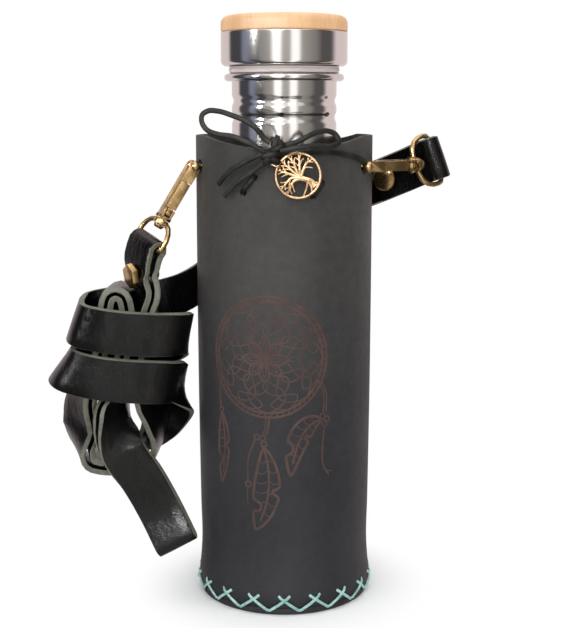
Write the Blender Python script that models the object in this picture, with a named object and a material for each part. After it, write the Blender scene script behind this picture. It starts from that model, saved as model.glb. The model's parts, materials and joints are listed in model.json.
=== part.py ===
# Leather case for a steel drinking bottle, with a wound shoulder strap on two snap hooks.
# Metres, +Z up. The origin is the middle of the case's flat bottom, and the front faces -Y.
import math

import bmesh
import bpy
from mathutils import Matrix, Vector
from mathutils.bvhtree import BVHTree

# Shared clearances
PIECE_GAP = 0.0003
CUT_OVERRUN = 0.004

# Leather tube
CASE_RADIUS = 0.0406
CASE_WALL = 0.0022
CASE_HEIGHT = 0.217
SCOOP_DEPTH = 0.0064
SCOOP_HALF_ANGLE = math.radians(61.9)
SCOOP_POWER = 1.3
CASE_COLUMNS = 56
# Height over the case's height, radius over the case's radius
CASE_PROFILE_SHARES = [(0.024, 1.010), (0.036, 1.014), (0.062, 0.999), (0.105, 0.982),
                       (0.2, 0.988), (0.42, 0.999), (0.7, 1.002), (0.93, 1.0)]
BASE_THICKNESS = 0.0032
BASE_ROUNDING = 0.0012

# Waxed thread
THREAD_THICKNESS = 0.0008
THREAD_WIDTH = 0.0012
THREAD_LEAD_SHARE = 0.04
THREAD_UNDER_SHARE = 0.86
BASE_STITCHES = 18
BASE_STITCH_TOP = 0.009
BASE_STITCH_BOTTOM = 0.002
BASE_STITCH_SPREAD = 0.0026
SEAM_STITCHES = 12
SEAM_START = 0.015
SEAM_END_DROP = 0.014
SEAM_END = CASE_HEIGHT - SEAM_END_DROP
SEAM_HALF_WIDTH = 0.005

# Lacing holes, as angle from the front and distance below the case's height
LACE_THICKNESS = 0.0024
LACE_HOLE_RADIUS = 0.0018
LACE_HOLES_LEFT = [(math.radians(-18.5), 0.0171), (math.radians(-26.0), 0.0239)]
LACE_HOLES_RIGHT = [(math.radians(23.5), 0.0200), (math.radians(18.0), 0.0252)]

KNOT_SIDE = -0.005
KNOT_RISE = 0.0011
KNOT_HALF_WIDTH = 0.0046
KNOT_HALF_DEPTH = 0.0028
KNOT_HALF_HEIGHT = 0.0044

# Bottle and cap
BOTTLE_ROOM = 0.00365
BOTTLE_RADIUS = CASE_RADIUS - CASE_WALL - BOTTLE_ROOM
BOTTLE_WALL = 0.0008
NECK_RADIUS = 0.02395
BOTTLE_PROUD = 0.0275
BOTTLE_HEIGHT = CASE_HEIGHT + BOTTLE_PROUD
NECK_LENGTH = 0.0355
SHOULDER_LENGTH = 0.037
SHOULDER_END = BOTTLE_HEIGHT - NECK_LENGTH
SHOULDER_START = SHOULDER_END - SHOULDER_LENGTH
BEAD_OVERHANG = 0.0034
BEAD_RADIUS = NECK_RADIUS + BEAD_OVERHANG
BEAD_HEIGHT = 0.0035
THREAD_PITCH = 0.0075
THREAD_DEPTH = 0.0007
THREAD_DROP = 0.0122
THREAD_TOP = BOTTLE_HEIGHT - THREAD_DROP
BOTTLE_SEGMENTS = 28
# A groove of the thread: height over the pitch, depth over the thread's depth
GROOVE_SHARES = [(-0.22, 0), (-0.08, 1), (0.08, 1), (0.22, 0)]
SEAL_HEIGHT = 0.0027
SEAL_OVERHANG = 0.00135
SEAL_RADIUS = NECK_RADIUS + SEAL_OVERHANG
SEAL_INSET = 0.00275
SEAL_BORE = NECK_RADIUS - SEAL_INSET
PLUG_INSET = 0.00325
PLUG_RADIUS = NECK_RADIUS - PLUG_INSET
PLUG_RIDGE = 0.0009
PLUG_DEPTH = 0.0155
PLUG_WALL = 0.0042
PLUG_BORE = PLUG_RADIUS - PLUG_WALL
CAP_OVERHANG = 0.00485
CAP_RADIUS = NECK_RADIUS + CAP_OVERHANG
CAP_HEIGHT = 0.0151
CAP_WALL = 0.0009
CAP_ROUNDING = 0.003
BAMBOO_HEIGHT = 0.0068
BAMBOO_ROUNDING = 0.0024
BAMBOO_SPIGOT_DEPTH = 0.003

# Snap hooks
HOOK_HOLE_RADIUS = 0.0032
HOOK_WIRE_RADIUS = 0.0012
HOOK_BAR_WIDTH = 0.0048
HOOK_BAR_DEPTH = 0.0026
HOOK_NOSE_RADIUS = 0.0025
HOOK_NOSE_STANDOFF = 0.0021
HOOK_REACH = 0.0225
HOOK_BASE_LENGTH = 0.0042
HOOK_FLANGE_RADIUS = 0.0038
HOOK_FLANGE_LENGTH = 0.0013
HOOK_STUB = 0.0083
GATE_WIDTH = 0.0044
GATE_DEPTH = 0.0021
GATE_KNUCKLE_RADIUS = 0.0016
GATE_KNUCKLE_LENGTH = 0.0022
GATE_PIN_RADIUS = 0.0005
POST_RADIUS = 0.0012
POST_HEAD_RADIUS = 0.0027
POST_HEAD_HEIGHT = 0.0016
RING_WIRE_RADIUS = 0.0012
RING_LENGTH = 0.0118
RING_BOSS_RADIUS = 0.0034
RING_BOSS_LENGTH = 0.0024
RING_BORE_ROOM = 0.0006
HOOK_DROP = 0.0138
HOOK_HEIGHT = CASE_HEIGHT - HOOK_DROP
POST_BORE_DEPTH = 0.003
# The two hook holes of a side as angles from the front, the way the hook points from the holes, and
# the way its ring's straight bar lies
LEFT = {"name": "left", "hole_angles": (math.radians(-69), math.radians(-83)),
        "hook_direction": (-0.51, -0.10, -0.855), "bar_axis": (-0.558, 0.795, 0.239)}
RIGHT = {"name": "right", "hole_angles": (math.radians(62), math.radians(80)),
         "hook_direction": (0.84, 0.54, 0.0), "bar_axis": (-0.33, 0.08, 0.94)}
# Half of the ring's outline: across over half its width, along over its length
RING_OUTLINE_SHARES = [(0.0, 0.0), (0.42, 0.0), (0.68, 0.09), (0.87, 0.27), (0.98, 0.52),
                       (1.0, 0.76), (0.96, 0.93), (0.86, 1.0), (0.45, 1.0), (0.0, 1.0)]

# Strap
STRAP_WIDTH = 0.020
STRAP_THICKNESS = 0.003
STRAP_LAYER_GAP = 0.001
STRAP_STEP = 0.005
STRAP_CUT_GAP = 0.0003
RING_ROOM = 0.0004
HANK_STANDOFF = 0.0294
HANK_DEPTH = -0.016
HANK_DROP = 0.0852
HANK_HEIGHT = HOOK_HEIGHT - HANK_DROP
BACK_ROOM = 0.0004
BACK_START = math.radians(230)
BACK_END = math.radians(140)
BACK_LOW_DROP = 0.0532
BACK_HIGH_DROP = 0.0172
SHORT_END_LENGTH = 0.031
FASTENER_ROOM = 0.0011
SCREW_ACROSS = 0.012
SCREW_HEAD_HEIGHT = 0.003
SCREW_SHANK_RADIUS = 0.002
SCREW_POST_RADIUS = 0.0042
RIVET_RADIUS = 0.006
RIVET_DOME_HEIGHT = 0.0019
RIVET_CAP_HEIGHT = 0.001
RIVET_SHANK_RADIUS = 0.0018
RIVET_DISTANCE = 0.0225
SCREW_DISTANCE = 0.0132

# Charm
CHARM_RADIUS = 0.010
CHARM_RIM = 0.0012
CHARM_THICKNESS = 0.0014
CHARM_RING_RADIUS = 0.0022
CHARM_RING_WIRE = 0.0004
CHARM_RING_SHIFT = 0.0006
CHARM_RING_DEPTH = 0.0013
CHARM_HANG = (-0.92, 0, 0.39)
CHARM_SIDE = 0.006
CHARM_DROP = 0.0163
CHARM_LIMB_SHARE = 0.94
CHARM_LIMB_STEP_SHARE = 0.03
CHARM_ROOM = 0.001

UP = Vector((0, 0, 1))
CUT_WAY = Vector((-0.4, -0.7, 0.6))


# Scene and objects
def clear_scene():
    for item in list(bpy.data.objects):
        bpy.data.objects.remove(item, do_unlink=True)


def material(name, color, roughness, metallic):
    if name in bpy.data.materials:
        return bpy.data.materials[name]
    made = bpy.data.materials.new(name)
    made.use_nodes = True
    shader = made.node_tree.nodes["Principled BSDF"]
    shader.inputs["Base Color"].default_value = (*color, 1)
    shader.inputs["Roughness"].default_value = roughness
    shader.inputs["Metallic"].default_value = metallic
    return made


def case_leather():
    return material("case_leather", (0.07, 0.065, 0.06), 0.75, 0)


def strap_leather():
    return material("strap_leather", (0.012, 0.011, 0.012), 0.35, 0)


def lace_leather():
    return material("lace_leather", (0.02, 0.02, 0.015), 0.5, 0)


def waxed_thread():
    return material("waxed_thread", (0.30, 0.60, 0.55), 0.6, 0)


def antique_brass():
    return material("antique_brass", (0.40, 0.24, 0.09), 0.35, 1)


def antique_copper():
    return material("antique_copper", (0.50, 0.34, 0.20), 0.4, 1)


def bottle_steel():
    return material("bottle_steel", (0.62, 0.61, 0.60), 0.25, 1)


def seal_rubber():
    return material("seal_rubber", (0.75, 0.74, 0.70), 0.6, 0)


def plug_plastic():
    return material("plug_plastic", (0.05, 0.05, 0.05), 0.5, 0)


def bamboo():
    return material("bamboo", (0.75, 0.45, 0.20), 0.5, 0)


def finish_object(name, shape, surface, origin=None, smooth_angle=math.radians(40)):
    bmesh.ops.recalc_face_normals(shape, faces=shape.faces[:])
    if shape.calc_volume(signed=True) < 0:
        bmesh.ops.reverse_faces(shape, faces=shape.faces[:])
    place = Vector(origin) if origin else Vector()
    bmesh.ops.translate(shape, vec=-place, verts=shape.verts[:])
    mesh = bpy.data.meshes.new(name)
    shape.to_mesh(mesh)
    shape.free()
    mesh.shade_smooth()
    mesh.set_sharp_from_angle(angle=smooth_angle)
    made = bpy.data.objects.new(name, mesh)
    made.location = place
    mesh.materials.append(surface)
    bpy.context.scene.collection.objects.link(made)
    return made


# Shape builders
def turned(profile, segments):
    # A closed outline of (radius, height) points, or an open one that starts and ends on the axis.
    shape = bmesh.new()
    points = [shape.verts.new((radius, 0, height)) for radius, height in profile]
    edges = [shape.edges.new(pair) for pair in zip(points, points[1:])]
    if profile[0][0] > 0:
        edges.append(shape.edges.new((points[-1], points[0])))
    bmesh.ops.spin(shape, geom=points + edges, axis=UP, cent=(0, 0, 0), angle=math.tau,
                   steps=segments, use_merge=True)
    bmesh.ops.remove_doubles(shape, verts=shape.verts[:], dist=PIECE_GAP / segments)
    return shape


def skinned(rings, closed=False):
    # Quads from ring to ring; an open run gets flat ends.
    shape = bmesh.new()
    rows = [[shape.verts.new(point) for point in ring] for ring in rings]
    count = len(rows[0])
    pairs = list(zip(rows, rows[1:]))
    if closed:
        pairs.append((rows[-1], rows[0]))
    for low, high in pairs:
        for index in range(count):
            after = (index + 1) % count
            shape.faces.new((low[index], low[after], high[after], high[index]))
    if not closed:
        shape.faces.new(rows[0])
        shape.faces.new(rows[-1])
    return shape


def block(center, axes, sizes):
    # A box from its centre, three unit axes and its full sizes.
    shape = bmesh.new()
    bmesh.ops.create_cube(shape, size=1)
    for vert in shape.verts:
        offset = Vector()
        for axis, size, value in zip(axes, sizes, vert.co):
            offset += axis * (size * value)
        vert.co = center + offset
    return shape


def rod(start, end, radius, segments=12, end_radius=None):
    shape = bmesh.new()
    along = end - start
    turn = along.to_track_quat("Z", "Y").to_matrix().to_4x4()
    bmesh.ops.create_cone(shape, cap_ends=True, segments=segments, radius1=radius,
                          radius2=radius if end_radius is None else end_radius, depth=along.length,
                          matrix=Matrix.Translation((start + end) / 2) @ turn)
    return shape


def ball(center, radius, segments=12, rings=8, scale=(1, 1, 1)):
    shape = bmesh.new()
    bmesh.ops.create_uvsphere(shape, u_segments=segments, v_segments=rings, radius=radius)
    for vert in shape.verts:
        vert.co = center + Vector(value * factor for value, factor in zip(vert.co, scale))
    return shape


def tube_rings(points, radius, sides, closed=False, flat=1.0, side_axis=None):
    # Round or flattened sections that turn with the path and never roll about it.
    rings = []
    count = len(points)
    normal = side_axis
    for index, point in enumerate(points):
        if closed:
            along = points[(index + 1) % count] - points[index - 1]
        else:
            along = points[min(index + 1, count - 1)] - points[max(index - 1, 0)]
        along.normalize()
        if normal is None:
            normal = along.orthogonal().normalized()
        normal = (normal - along * normal.dot(along)).normalized()
        across = along.cross(normal)
        ring = []
        for side in range(sides):
            angle = math.tau * (side + 0.5) / sides
            ring.append(point + normal * (radius * math.cos(angle))
                        + across * (radius * flat * math.sin(angle)))
        rings.append(ring)
    return rings


def smooth_run(points, step):
    # An even run of points on a smooth curve through the given ones.
    path = [Vector(point) for point in points]
    spans = [(after - before).length for before, after in zip(path, path[1:])]
    slopes = []
    for index in range(len(path)):
        if index == 0:
            slopes.append((path[1] - path[0]) / spans[0])
        elif index == len(path) - 1:
            slopes.append((path[-1] - path[-2]) / spans[-1])
        else:
            before = (path[index] - path[index - 1]) / spans[index - 1]
            after = (path[index + 1] - path[index]) / spans[index]
            total = spans[index - 1] + spans[index]
            slopes.append(before * (spans[index] / total) + after * (spans[index - 1] / total))
    run = []
    for index, span in enumerate(spans):
        pieces = max(2, round(span / step))
        for piece in range(pieces):
            t = piece / pieces
            run.append(hermite(path[index], path[index + 1], slopes[index] * span,
                               slopes[index + 1] * span, t))
    run.append(path[-1])
    return run


def hermite(start, end, start_slope, end_slope, t):
    square = t * t
    cube = square * t
    return (start * (2 * cube - 3 * square + 1) + start_slope * (cube - 2 * square + t)
            + end * (3 * square - 2 * cube) + end_slope * (cube - square))


def combine(target, tools, operation):
    # A Boolean of finished objects; the tools are used up.
    for tool in tools:
        modifier = target.modifiers.new(operation.lower(), "BOOLEAN")
        modifier.operation = operation
        modifier.solver = "EXACT"
        modifier.object = tool
        bpy.context.view_layer.update()
        evaluated = target.evaluated_get(bpy.context.evaluated_depsgraph_get())
        mesh = bpy.data.meshes.new_from_object(evaluated)
        target.modifiers.clear()
        old = target.data
        target.data = mesh
        mesh.name = target.name
        bpy.data.meshes.remove(old)
        bpy.data.objects.remove(tool, do_unlink=True)
    target.data.set_sharp_from_angle(angle=math.radians(40))
    return target


def joined(name, shapes, surface, cuts=(), origin=None):
    # One solid from overlapping shapes, with other shapes cut away.
    target = finish_object(name, shapes[0], surface)
    combine(target, [finish_object(name + "_add", shape, surface) for shape in shapes[1:]], "UNION")
    combine(target, [finish_object(name + "_cut", shape, surface) for shape in cuts], "DIFFERENCE")
    if origin is not None:
        target.data.transform(Matrix.Translation(-Vector(origin)))
        target.location = origin
    return target


# Places on the tube, with the angle measured from the front toward +X
def around(angle, radius, height):
    return Vector((radius * math.sin(angle), -radius * math.cos(angle), height))


def case_surface(height):
    # Outer radius of the tube at a height.
    low = (0.0, CASE_PROFILE_SHARES[0][1])
    for share in CASE_PROFILE_SHARES + [(1.0, 1.0)]:
        if height <= share[0] * CASE_HEIGHT:
            part = (height / CASE_HEIGHT - low[0]) / (share[0] - low[0])
            return CASE_RADIUS * (low[1] + (share[1] - low[1]) * part)
        low = share
    return CASE_RADIUS


def rim_height(angle):
    # Low at front and back, level from the corners round each side.
    turn = abs(math.remainder(angle, math.tau))
    turn = min(turn, math.pi - turn)
    part = min(1, turn / SCOOP_HALF_ANGLE)
    return CASE_HEIGHT - SCOOP_DEPTH * (1 - part ** SCOOP_POWER)


# Case
def lacing_holes(rows):
    return [(angle, CASE_HEIGHT - drop) for angle, drop in rows]


def case_body():
    tube_bottom = BASE_THICKNESS + PIECE_GAP
    rows = [(tube_bottom, CASE_RADIUS)]
    rows += [(share * CASE_HEIGHT, radius * CASE_RADIUS) for share, radius in CASE_PROFILE_SHARES]
    columns = [math.tau * index / CASE_COLUMNS for index in range(CASE_COLUMNS)]
    rings = [[around(angle, radius, height) for angle in columns] for height, radius in rows]
    rings.append([around(angle, CASE_RADIUS, rim_height(angle)) for angle in columns])
    rings.append([around(angle, CASE_RADIUS - CASE_WALL, rim_height(angle)) for angle in columns])
    for height, radius in reversed(rows[3:]):
        rings.append([around(angle, radius - CASE_WALL, height) for angle in columns])
    rings.append([around(angle, CASE_RADIUS - CASE_WALL, tube_bottom) for angle in columns])
    cuts = []
    for side in (LEFT, RIGHT):
        for angle in side["hole_angles"]:
            cuts.append(wall_cutter(angle, HOOK_HEIGHT, HOOK_HOLE_RADIUS, 12))
    for angle, height in lacing_holes(LACE_HOLES_LEFT) + lacing_holes(LACE_HOLES_RIGHT):
        cuts.append(wall_cutter(angle, height, LACE_HOLE_RADIUS, 8))
    return joined("case_body", [skinned(rings, closed=True)], case_leather(), cuts)


def wall_cutter(angle, height, radius, sides):
    return rod(around(angle, CASE_RADIUS - CASE_WALL - radius, height),
               around(angle, CASE_RADIUS + radius, height), radius, sides)


def base_disc():
    inner = CASE_RADIUS - BASE_ROUNDING
    profile = [(0, BASE_THICKNESS), (CASE_RADIUS, BASE_THICKNESS),
               (CASE_RADIUS, BASE_ROUNDING), (inner, 0), (0, 0)]
    return finish_object("base_disc", turned(profile, CASE_COLUMNS), case_leather())


def thread_leg(start, end, surface_radius, over):
    # A flat thread laid on the tube from one (angle, height) to another, in two bends. The upper of
    # two crossed threads is longer, wider and thicker than the one below it.
    lead = THREAD_LEAD_SHARE * over
    share = 1 if over else THREAD_UNDER_SHARE
    points = []
    for part in (-lead, 1 / 2, 1 + lead):
        angle = start[0] + (end[0] - start[0]) * part
        height = start[1] + (end[1] - start[1]) * part
        points.append(around(angle, surface_radius(height) + PIECE_GAP + THREAD_THICKNESS / 2, height))
    rings = []
    for index, point in enumerate(points):
        along = points[min(index + 1, len(points) - 1)] - points[max(index - 1, 0)]
        outward = Vector((point.x, point.y, 0)).normalized()
        across = along.cross(outward).normalized()
        outward = across.cross(along).normalized()
        rings.append([point + across * (side * share * THREAD_WIDTH / 2)
                      + outward * (depth * share * THREAD_THICKNESS / 2)
                      for side, depth in ((-1, -1), (1, -1), (1, 1), (-1, 1))])
    return rings


def crossed_threads(name, rising, falling, surface_radius):
    # All threads that lean one way, joined where the others cross them.
    sets = []
    for over, legs in ((1, rising), (0, falling)):
        shape = bmesh.new()
        for start, end in legs:
            rings = thread_leg(start, end, surface_radius, over)
            rows = [[shape.verts.new(point) for point in ring] for ring in rings]
            for low, high in zip(rows, rows[1:]):
                for index in range(4):
                    after = (index + 1) % 4
                    shape.faces.new((low[index], low[after], high[after], high[index]))
            shape.faces.new(rows[0])
            shape.faces.new(rows[-1])
        sets.append(shape)
    return joined(name, sets, waxed_thread())


def base_stitching():
    pitch = math.tau / BASE_STITCHES
    spread = BASE_STITCH_SPREAD / CASE_RADIUS
    rising = []
    falling = []
    for index in range(BASE_STITCHES):
        middle = pitch * index
        rising.append(((middle - pitch / 2, BASE_STITCH_BOTTOM), (middle + spread, BASE_STITCH_TOP)))
        falling.append(((middle - spread, BASE_STITCH_TOP), (middle + pitch / 2, BASE_STITCH_BOTTOM)))
    return crossed_threads("base_stitching", rising, falling,
                           lambda height: max(case_surface(BASE_STITCH_TOP), case_surface(height)))


def seam_stitching():
    pitch = (SEAM_END - SEAM_START) / SEAM_STITCHES
    spread = SEAM_HALF_WIDTH / CASE_RADIUS
    rising = []
    falling = []
    for index in range(SEAM_STITCHES):
        low = SEAM_START + pitch * index
        rising.append(((math.pi - spread, low), (math.pi + spread, low + pitch)))
        falling.append(((math.pi - spread, low + pitch), (math.pi + spread, low)))
    return crossed_threads("seam_stitching", rising, falling, case_surface)


# Bottle and cap, standing on the base disc
def bottle_floor():
    return BASE_THICKNESS + PIECE_GAP


def bottle_shell():
    floor = bottle_floor()
    bead_base = BOTTLE_HEIGHT - BEAD_HEIGHT
    shoulder = SHOULDER_END - SHOULDER_START
    fall = BOTTLE_RADIUS - NECK_RADIUS
    outer = [(0, floor), (BOTTLE_RADIUS - 4 * BOTTLE_WALL, floor), (BOTTLE_RADIUS, floor + 4 * BOTTLE_WALL)]
    steps = 5
    for step in range(steps + 1):
        turn = math.pi * step / steps
        outer.append((NECK_RADIUS + fall * (1 + math.cos(turn)) / 2,
                      SHOULDER_START + shoulder * step / steps))
    for height in (THREAD_TOP - THREAD_PITCH, THREAD_TOP):
        for share, depth in GROOVE_SHARES:
            outer.append((NECK_RADIUS - THREAD_DEPTH * depth, height + THREAD_PITCH * share))
    outer += [(NECK_RADIUS, bead_base), (BEAD_RADIUS, bead_base + BOTTLE_WALL),
              (BEAD_RADIUS, BOTTLE_HEIGHT - BOTTLE_WALL), (BEAD_RADIUS - BOTTLE_WALL, BOTTLE_HEIGHT)]
    inner = [(NECK_RADIUS - BOTTLE_WALL, BOTTLE_HEIGHT),
             (NECK_RADIUS - BOTTLE_WALL, THREAD_TOP + THREAD_PITCH / 4)]
    for height in (THREAD_TOP, THREAD_TOP - THREAD_PITCH):
        inner.append((NECK_RADIUS - BOTTLE_WALL - THREAD_DEPTH, height))
        inner.append((NECK_RADIUS - BOTTLE_WALL, height - THREAD_PITCH / 2))
    for step in range(steps, -1, -1):
        turn = math.pi * step / steps
        inner.append((NECK_RADIUS - BOTTLE_WALL + fall * (1 + math.cos(turn)) / 2,
                      SHOULDER_START - BOTTLE_WALL + shoulder * step / steps))
    inner += [(BOTTLE_RADIUS - BOTTLE_WALL, floor + 4 * BOTTLE_WALL),
              (BOTTLE_RADIUS - 4 * BOTTLE_WALL, floor + BOTTLE_WALL), (0, floor + BOTTLE_WALL)]
    return finish_object("bottle_shell", turned(outer + inner, BOTTLE_SEGMENTS), bottle_steel())


def seal_base():
    return BOTTLE_HEIGHT + PIECE_GAP


def cap_base():
    return seal_base() + SEAL_HEIGHT + PIECE_GAP


def cap_seal():
    low = seal_base()
    high = low + SEAL_HEIGHT
    profile = [(SEAL_BORE, low), (SEAL_RADIUS, low), (SEAL_RADIUS, high), (SEAL_BORE, high)]
    return finish_object("cap_seal", turned(profile, BOTTLE_SEGMENTS), seal_rubber(), (0, 0, seal_base()))


def cap_plug():
    # A threaded cup: the ridge climbs one pitch a turn.
    top = cap_base() - PIECE_GAP
    bottom = top - PLUG_DEPTH - SEAL_HEIGHT
    columns = 24
    levels = 14
    rings = []
    for level in range(levels + 1):
        height = bottom + (seal_base() - bottom) * level / levels
        ring = []
        for column in range(columns):
            phase = ((height - bottom) / THREAD_PITCH - column / columns) % 1
            ridge = max(0, 1 - abs(phase - 1 / 2) * 6)
            fade = min(1, level / 2, (levels - level) / 2)
            ring.append(around(math.tau * column / columns, PLUG_RADIUS + PLUG_RIDGE * ridge * fade, height))
        rings.append(ring)
    turns = [math.tau * column / columns for column in range(columns)]
    for radius, height in ((PLUG_RADIUS, top), (PLUG_BORE, top), (PLUG_BORE, bottom + BOTTLE_WALL)):
        rings.append([around(turn, radius, height) for turn in turns])
    return finish_object("cap_plug", skinned(rings), plug_plastic(), (0, 0, seal_base()))


def cap_shell():
    low = cap_base()
    high = low + CAP_HEIGHT
    floor = high - BAMBOO_SPIGOT_DEPTH - PIECE_GAP
    outer = [(0, floor - CAP_WALL), (CAP_RADIUS - CAP_WALL * 4, floor - CAP_WALL),
             (CAP_RADIUS - CAP_WALL * 4, low)]
    steps = 3
    for step in range(steps + 1):
        turn = math.pi / 2 * step / steps
        outer.append((CAP_RADIUS - CAP_ROUNDING * (1 - math.sin(turn)) / 2,
                      low + CAP_ROUNDING * (1 - math.cos(turn)) / 2))
    outer += [(CAP_RADIUS, high), (CAP_RADIUS - CAP_WALL, high), (CAP_RADIUS - CAP_WALL, floor), (0, floor)]
    return finish_object("cap_shell", turned(outer, BOTTLE_SEGMENTS), bottle_steel(), (0, 0, cap_base()))


def bamboo_disc():
    low = cap_base() + CAP_HEIGHT + PIECE_GAP
    high = low + BAMBOO_HEIGHT
    spigot = CAP_RADIUS - CAP_WALL - PIECE_GAP
    profile = [(0, low - BAMBOO_SPIGOT_DEPTH), (spigot, low - BAMBOO_SPIGOT_DEPTH), (spigot, low),
               (CAP_RADIUS, low)]
    steps = 4
    for step in range(steps + 1):
        turn = math.pi / 2 * step / steps
        profile.append((CAP_RADIUS - BAMBOO_ROUNDING * (1 - math.cos(turn)),
                        high - BAMBOO_ROUNDING * (1 - math.sin(turn))))
    profile.append((0, high))
    return finish_object("bamboo_disc", turned(profile, BOTTLE_SEGMENTS), bamboo(), (0, 0, cap_base()))


# Snap hooks: two bars from the two holes to a base, with a gate in the front bar
def hook_frame(side):
    first, second = side["hole_angles"]
    front = around(first, CASE_RADIUS + HOOK_NOSE_STANDOFF, HOOK_HEIGHT)
    rear = around(second, CASE_RADIUS + HOOK_NOSE_STANDOFF, HOOK_HEIGHT)
    along = Vector(side["hook_direction"]).normalized()
    span = rear - front
    across = (span - along * span.dot(along)).normalized()
    face = along.cross(across)
    middle = front + across * (span.dot(across) / 2)
    base = middle + along * HOOK_REACH
    pin = front + along * (HOOK_REACH + GATE_KNUCKLE_RADIUS + PIECE_GAP)
    bar_axis = Vector(side["bar_axis"]).normalized()
    ring_along = (along - bar_axis * along.dot(bar_axis)).normalized()
    tilt_room = RING_BOSS_RADIUS * math.sqrt(max(0, 1 - along.dot(ring_along) ** 2))
    flange_end = base + along * (HOOK_BASE_LENGTH + HOOK_FLANGE_LENGTH)
    boss = flange_end + along * (PIECE_GAP + tilt_room + RING_BOSS_LENGTH / 2)
    head = boss + along * (RING_BOSS_LENGTH / 2 + tilt_room + PIECE_GAP)
    return {"front": front, "rear": rear, "along": along, "across": across, "face": face,
            "width": span.dot(across), "middle": middle, "base": base, "pin": pin,
            "bar_axis": bar_axis, "ring_along": ring_along, "flange_end": flange_end, "boss": boss,
            "head": head, "bar": boss + ring_along * RING_LENGTH}


def hook_bow(side):
    # The part of the hook behind the leather, which follows the tube's inner wall.
    reach = CASE_RADIUS - CASE_WALL - PIECE_GAP - HOOK_WIRE_RADIUS
    first, second = side["hole_angles"]
    steps = 4
    points = [around(first, CASE_RADIUS + HOOK_NOSE_STANDOFF, HOOK_HEIGHT)]
    for step in range(steps + 1):
        points.append(around(first + (second - first) * step / steps, reach, HOOK_HEIGHT))
    points.append(around(second, CASE_RADIUS + HOOK_NOSE_STANDOFF, HOOK_HEIGHT))
    return skinned(tube_rings(points, HOOK_WIRE_RADIUS, 8, side_axis=UP))


def hook(side):
    frame = hook_frame(side)
    along, across, face = frame["along"], frame["across"], frame["face"]
    axes = (along, across, face)
    rear_length = (frame["base"] - frame["rear"]).dot(along)
    lead = HOOK_BAR_DEPTH / 4
    stub = HOOK_STUB - lead
    rear = rear_length + HOOK_BASE_LENGTH - 2 * lead
    base = block(frame["base"] + along * (HOOK_BASE_LENGTH / 2), axes,
                 (HOOK_BASE_LENGTH, frame["width"] + HOOK_BAR_DEPTH * 1.02, HOOK_BAR_WIDTH))
    shapes = [rod(frame["flange_end"] - along * (HOOK_FLANGE_LENGTH + PIECE_GAP), frame["flange_end"],
                  HOOK_FLANGE_RADIUS, 16),
              block(frame["rear"] + along * (lead + rear / 2), axes,
                    (rear, HOOK_BAR_DEPTH, HOOK_BAR_WIDTH * 0.98)),
              ball(frame["rear"], HOOK_NOSE_RADIUS),
              hook_bow(side),
              ball(frame["front"], HOOK_NOSE_RADIUS),
              block(frame["front"] + along * (lead + stub / 2), axes,
                    (stub, HOOK_BAR_DEPTH, HOOK_BAR_WIDTH))]
    slot_depth = GATE_KNUCKLE_RADIUS + PIECE_GAP
    slot_top = frame["base"].dot(along) - CUT_OVERRUN / 2
    slot_end = frame["pin"].dot(along) + slot_depth
    slot_front = frame["pin"].dot(across) - HOOK_BAR_DEPTH
    slot_back = frame["pin"].dot(across) + slot_depth
    slot = block(along * ((slot_top + slot_end) / 2) + across * ((slot_front + slot_back) / 2)
                 + face * frame["pin"].dot(face), axes,
                 (slot_end - slot_top, slot_back - slot_front, GATE_KNUCKLE_LENGTH + 2 * PIECE_GAP))
    pin_reach = face * (HOOK_BAR_WIDTH / 2 + CUT_OVERRUN)
    pin_hole = rod(frame["pin"] - pin_reach, frame["pin"] + pin_reach, GATE_PIN_RADIUS + PIECE_GAP, 8)
    post_bore = rod(frame["flange_end"] - along * POST_BORE_DEPTH,
                    frame["flange_end"] + along * CUT_OVERRUN, POST_RADIUS + PIECE_GAP, 10)
    name = "hook_" + side["name"]
    made = joined(name, [base], antique_brass(), [slot, pin_hole])
    combine(made, [finish_object(name + "_add", shape, antique_brass()) for shape in shapes], "UNION")
    combine(made, [finish_object(name + "_cut", post_bore, antique_brass())], "DIFFERENCE")
    made.data.transform(Matrix.Translation(-frame["middle"]))
    made.location = frame["middle"]
    return made


def gate(side):
    frame = hook_frame(side)
    along, across, face = frame["along"], frame["across"], frame["face"]
    axes = (along, across, face)
    top = frame["front"] + along * (HOOK_STUB + PIECE_GAP)
    end = frame["front"] + along * (HOOK_REACH - 2 * PIECE_GAP)
    length = (end - top).length
    neck = (frame["pin"] - end).length + GATE_DEPTH / 4
    shapes = [block((top + end) / 2, axes, (length, GATE_DEPTH, GATE_WIDTH)),
              block(end + along * (neck / 2 - GATE_DEPTH / 4), axes, (neck, GATE_DEPTH * 0.9, GATE_KNUCKLE_LENGTH)),
              rod(frame["pin"] - face * (GATE_KNUCKLE_LENGTH / 2), frame["pin"] + face * (GATE_KNUCKLE_LENGTH / 2),
                  GATE_KNUCKLE_RADIUS, 14)]
    reach = face * GATE_KNUCKLE_LENGTH
    cuts = [rod(frame["pin"] - reach, frame["pin"] + reach, GATE_PIN_RADIUS + PIECE_GAP, 8)]
    return joined("gate_" + side["name"], shapes, antique_brass(), cuts, frame["pin"])


def gate_pin(side):
    frame = hook_frame(side)
    reach = frame["face"] * (HOOK_BAR_WIDTH / 2)
    shape = rod(frame["pin"] - reach, frame["pin"] + reach, GATE_PIN_RADIUS, 8)
    return finish_object("gate_pin_" + side["name"], shape, antique_brass(), frame["pin"])


def swivel_post(side):
    frame = hook_frame(side)
    along = frame["along"]
    start = frame["flange_end"] - along * (POST_BORE_DEPTH - PIECE_GAP)
    shapes = [rod(start, frame["head"] + along * (POST_HEAD_HEIGHT / 2), POST_RADIUS, 10),
              rod(frame["head"], frame["head"] + along * POST_HEAD_HEIGHT, POST_HEAD_RADIUS, 12,
                  POST_HEAD_RADIUS * 0.7)]
    return joined("swivel_post_" + side["name"], shapes, antique_brass(), origin=frame["head"])


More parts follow.
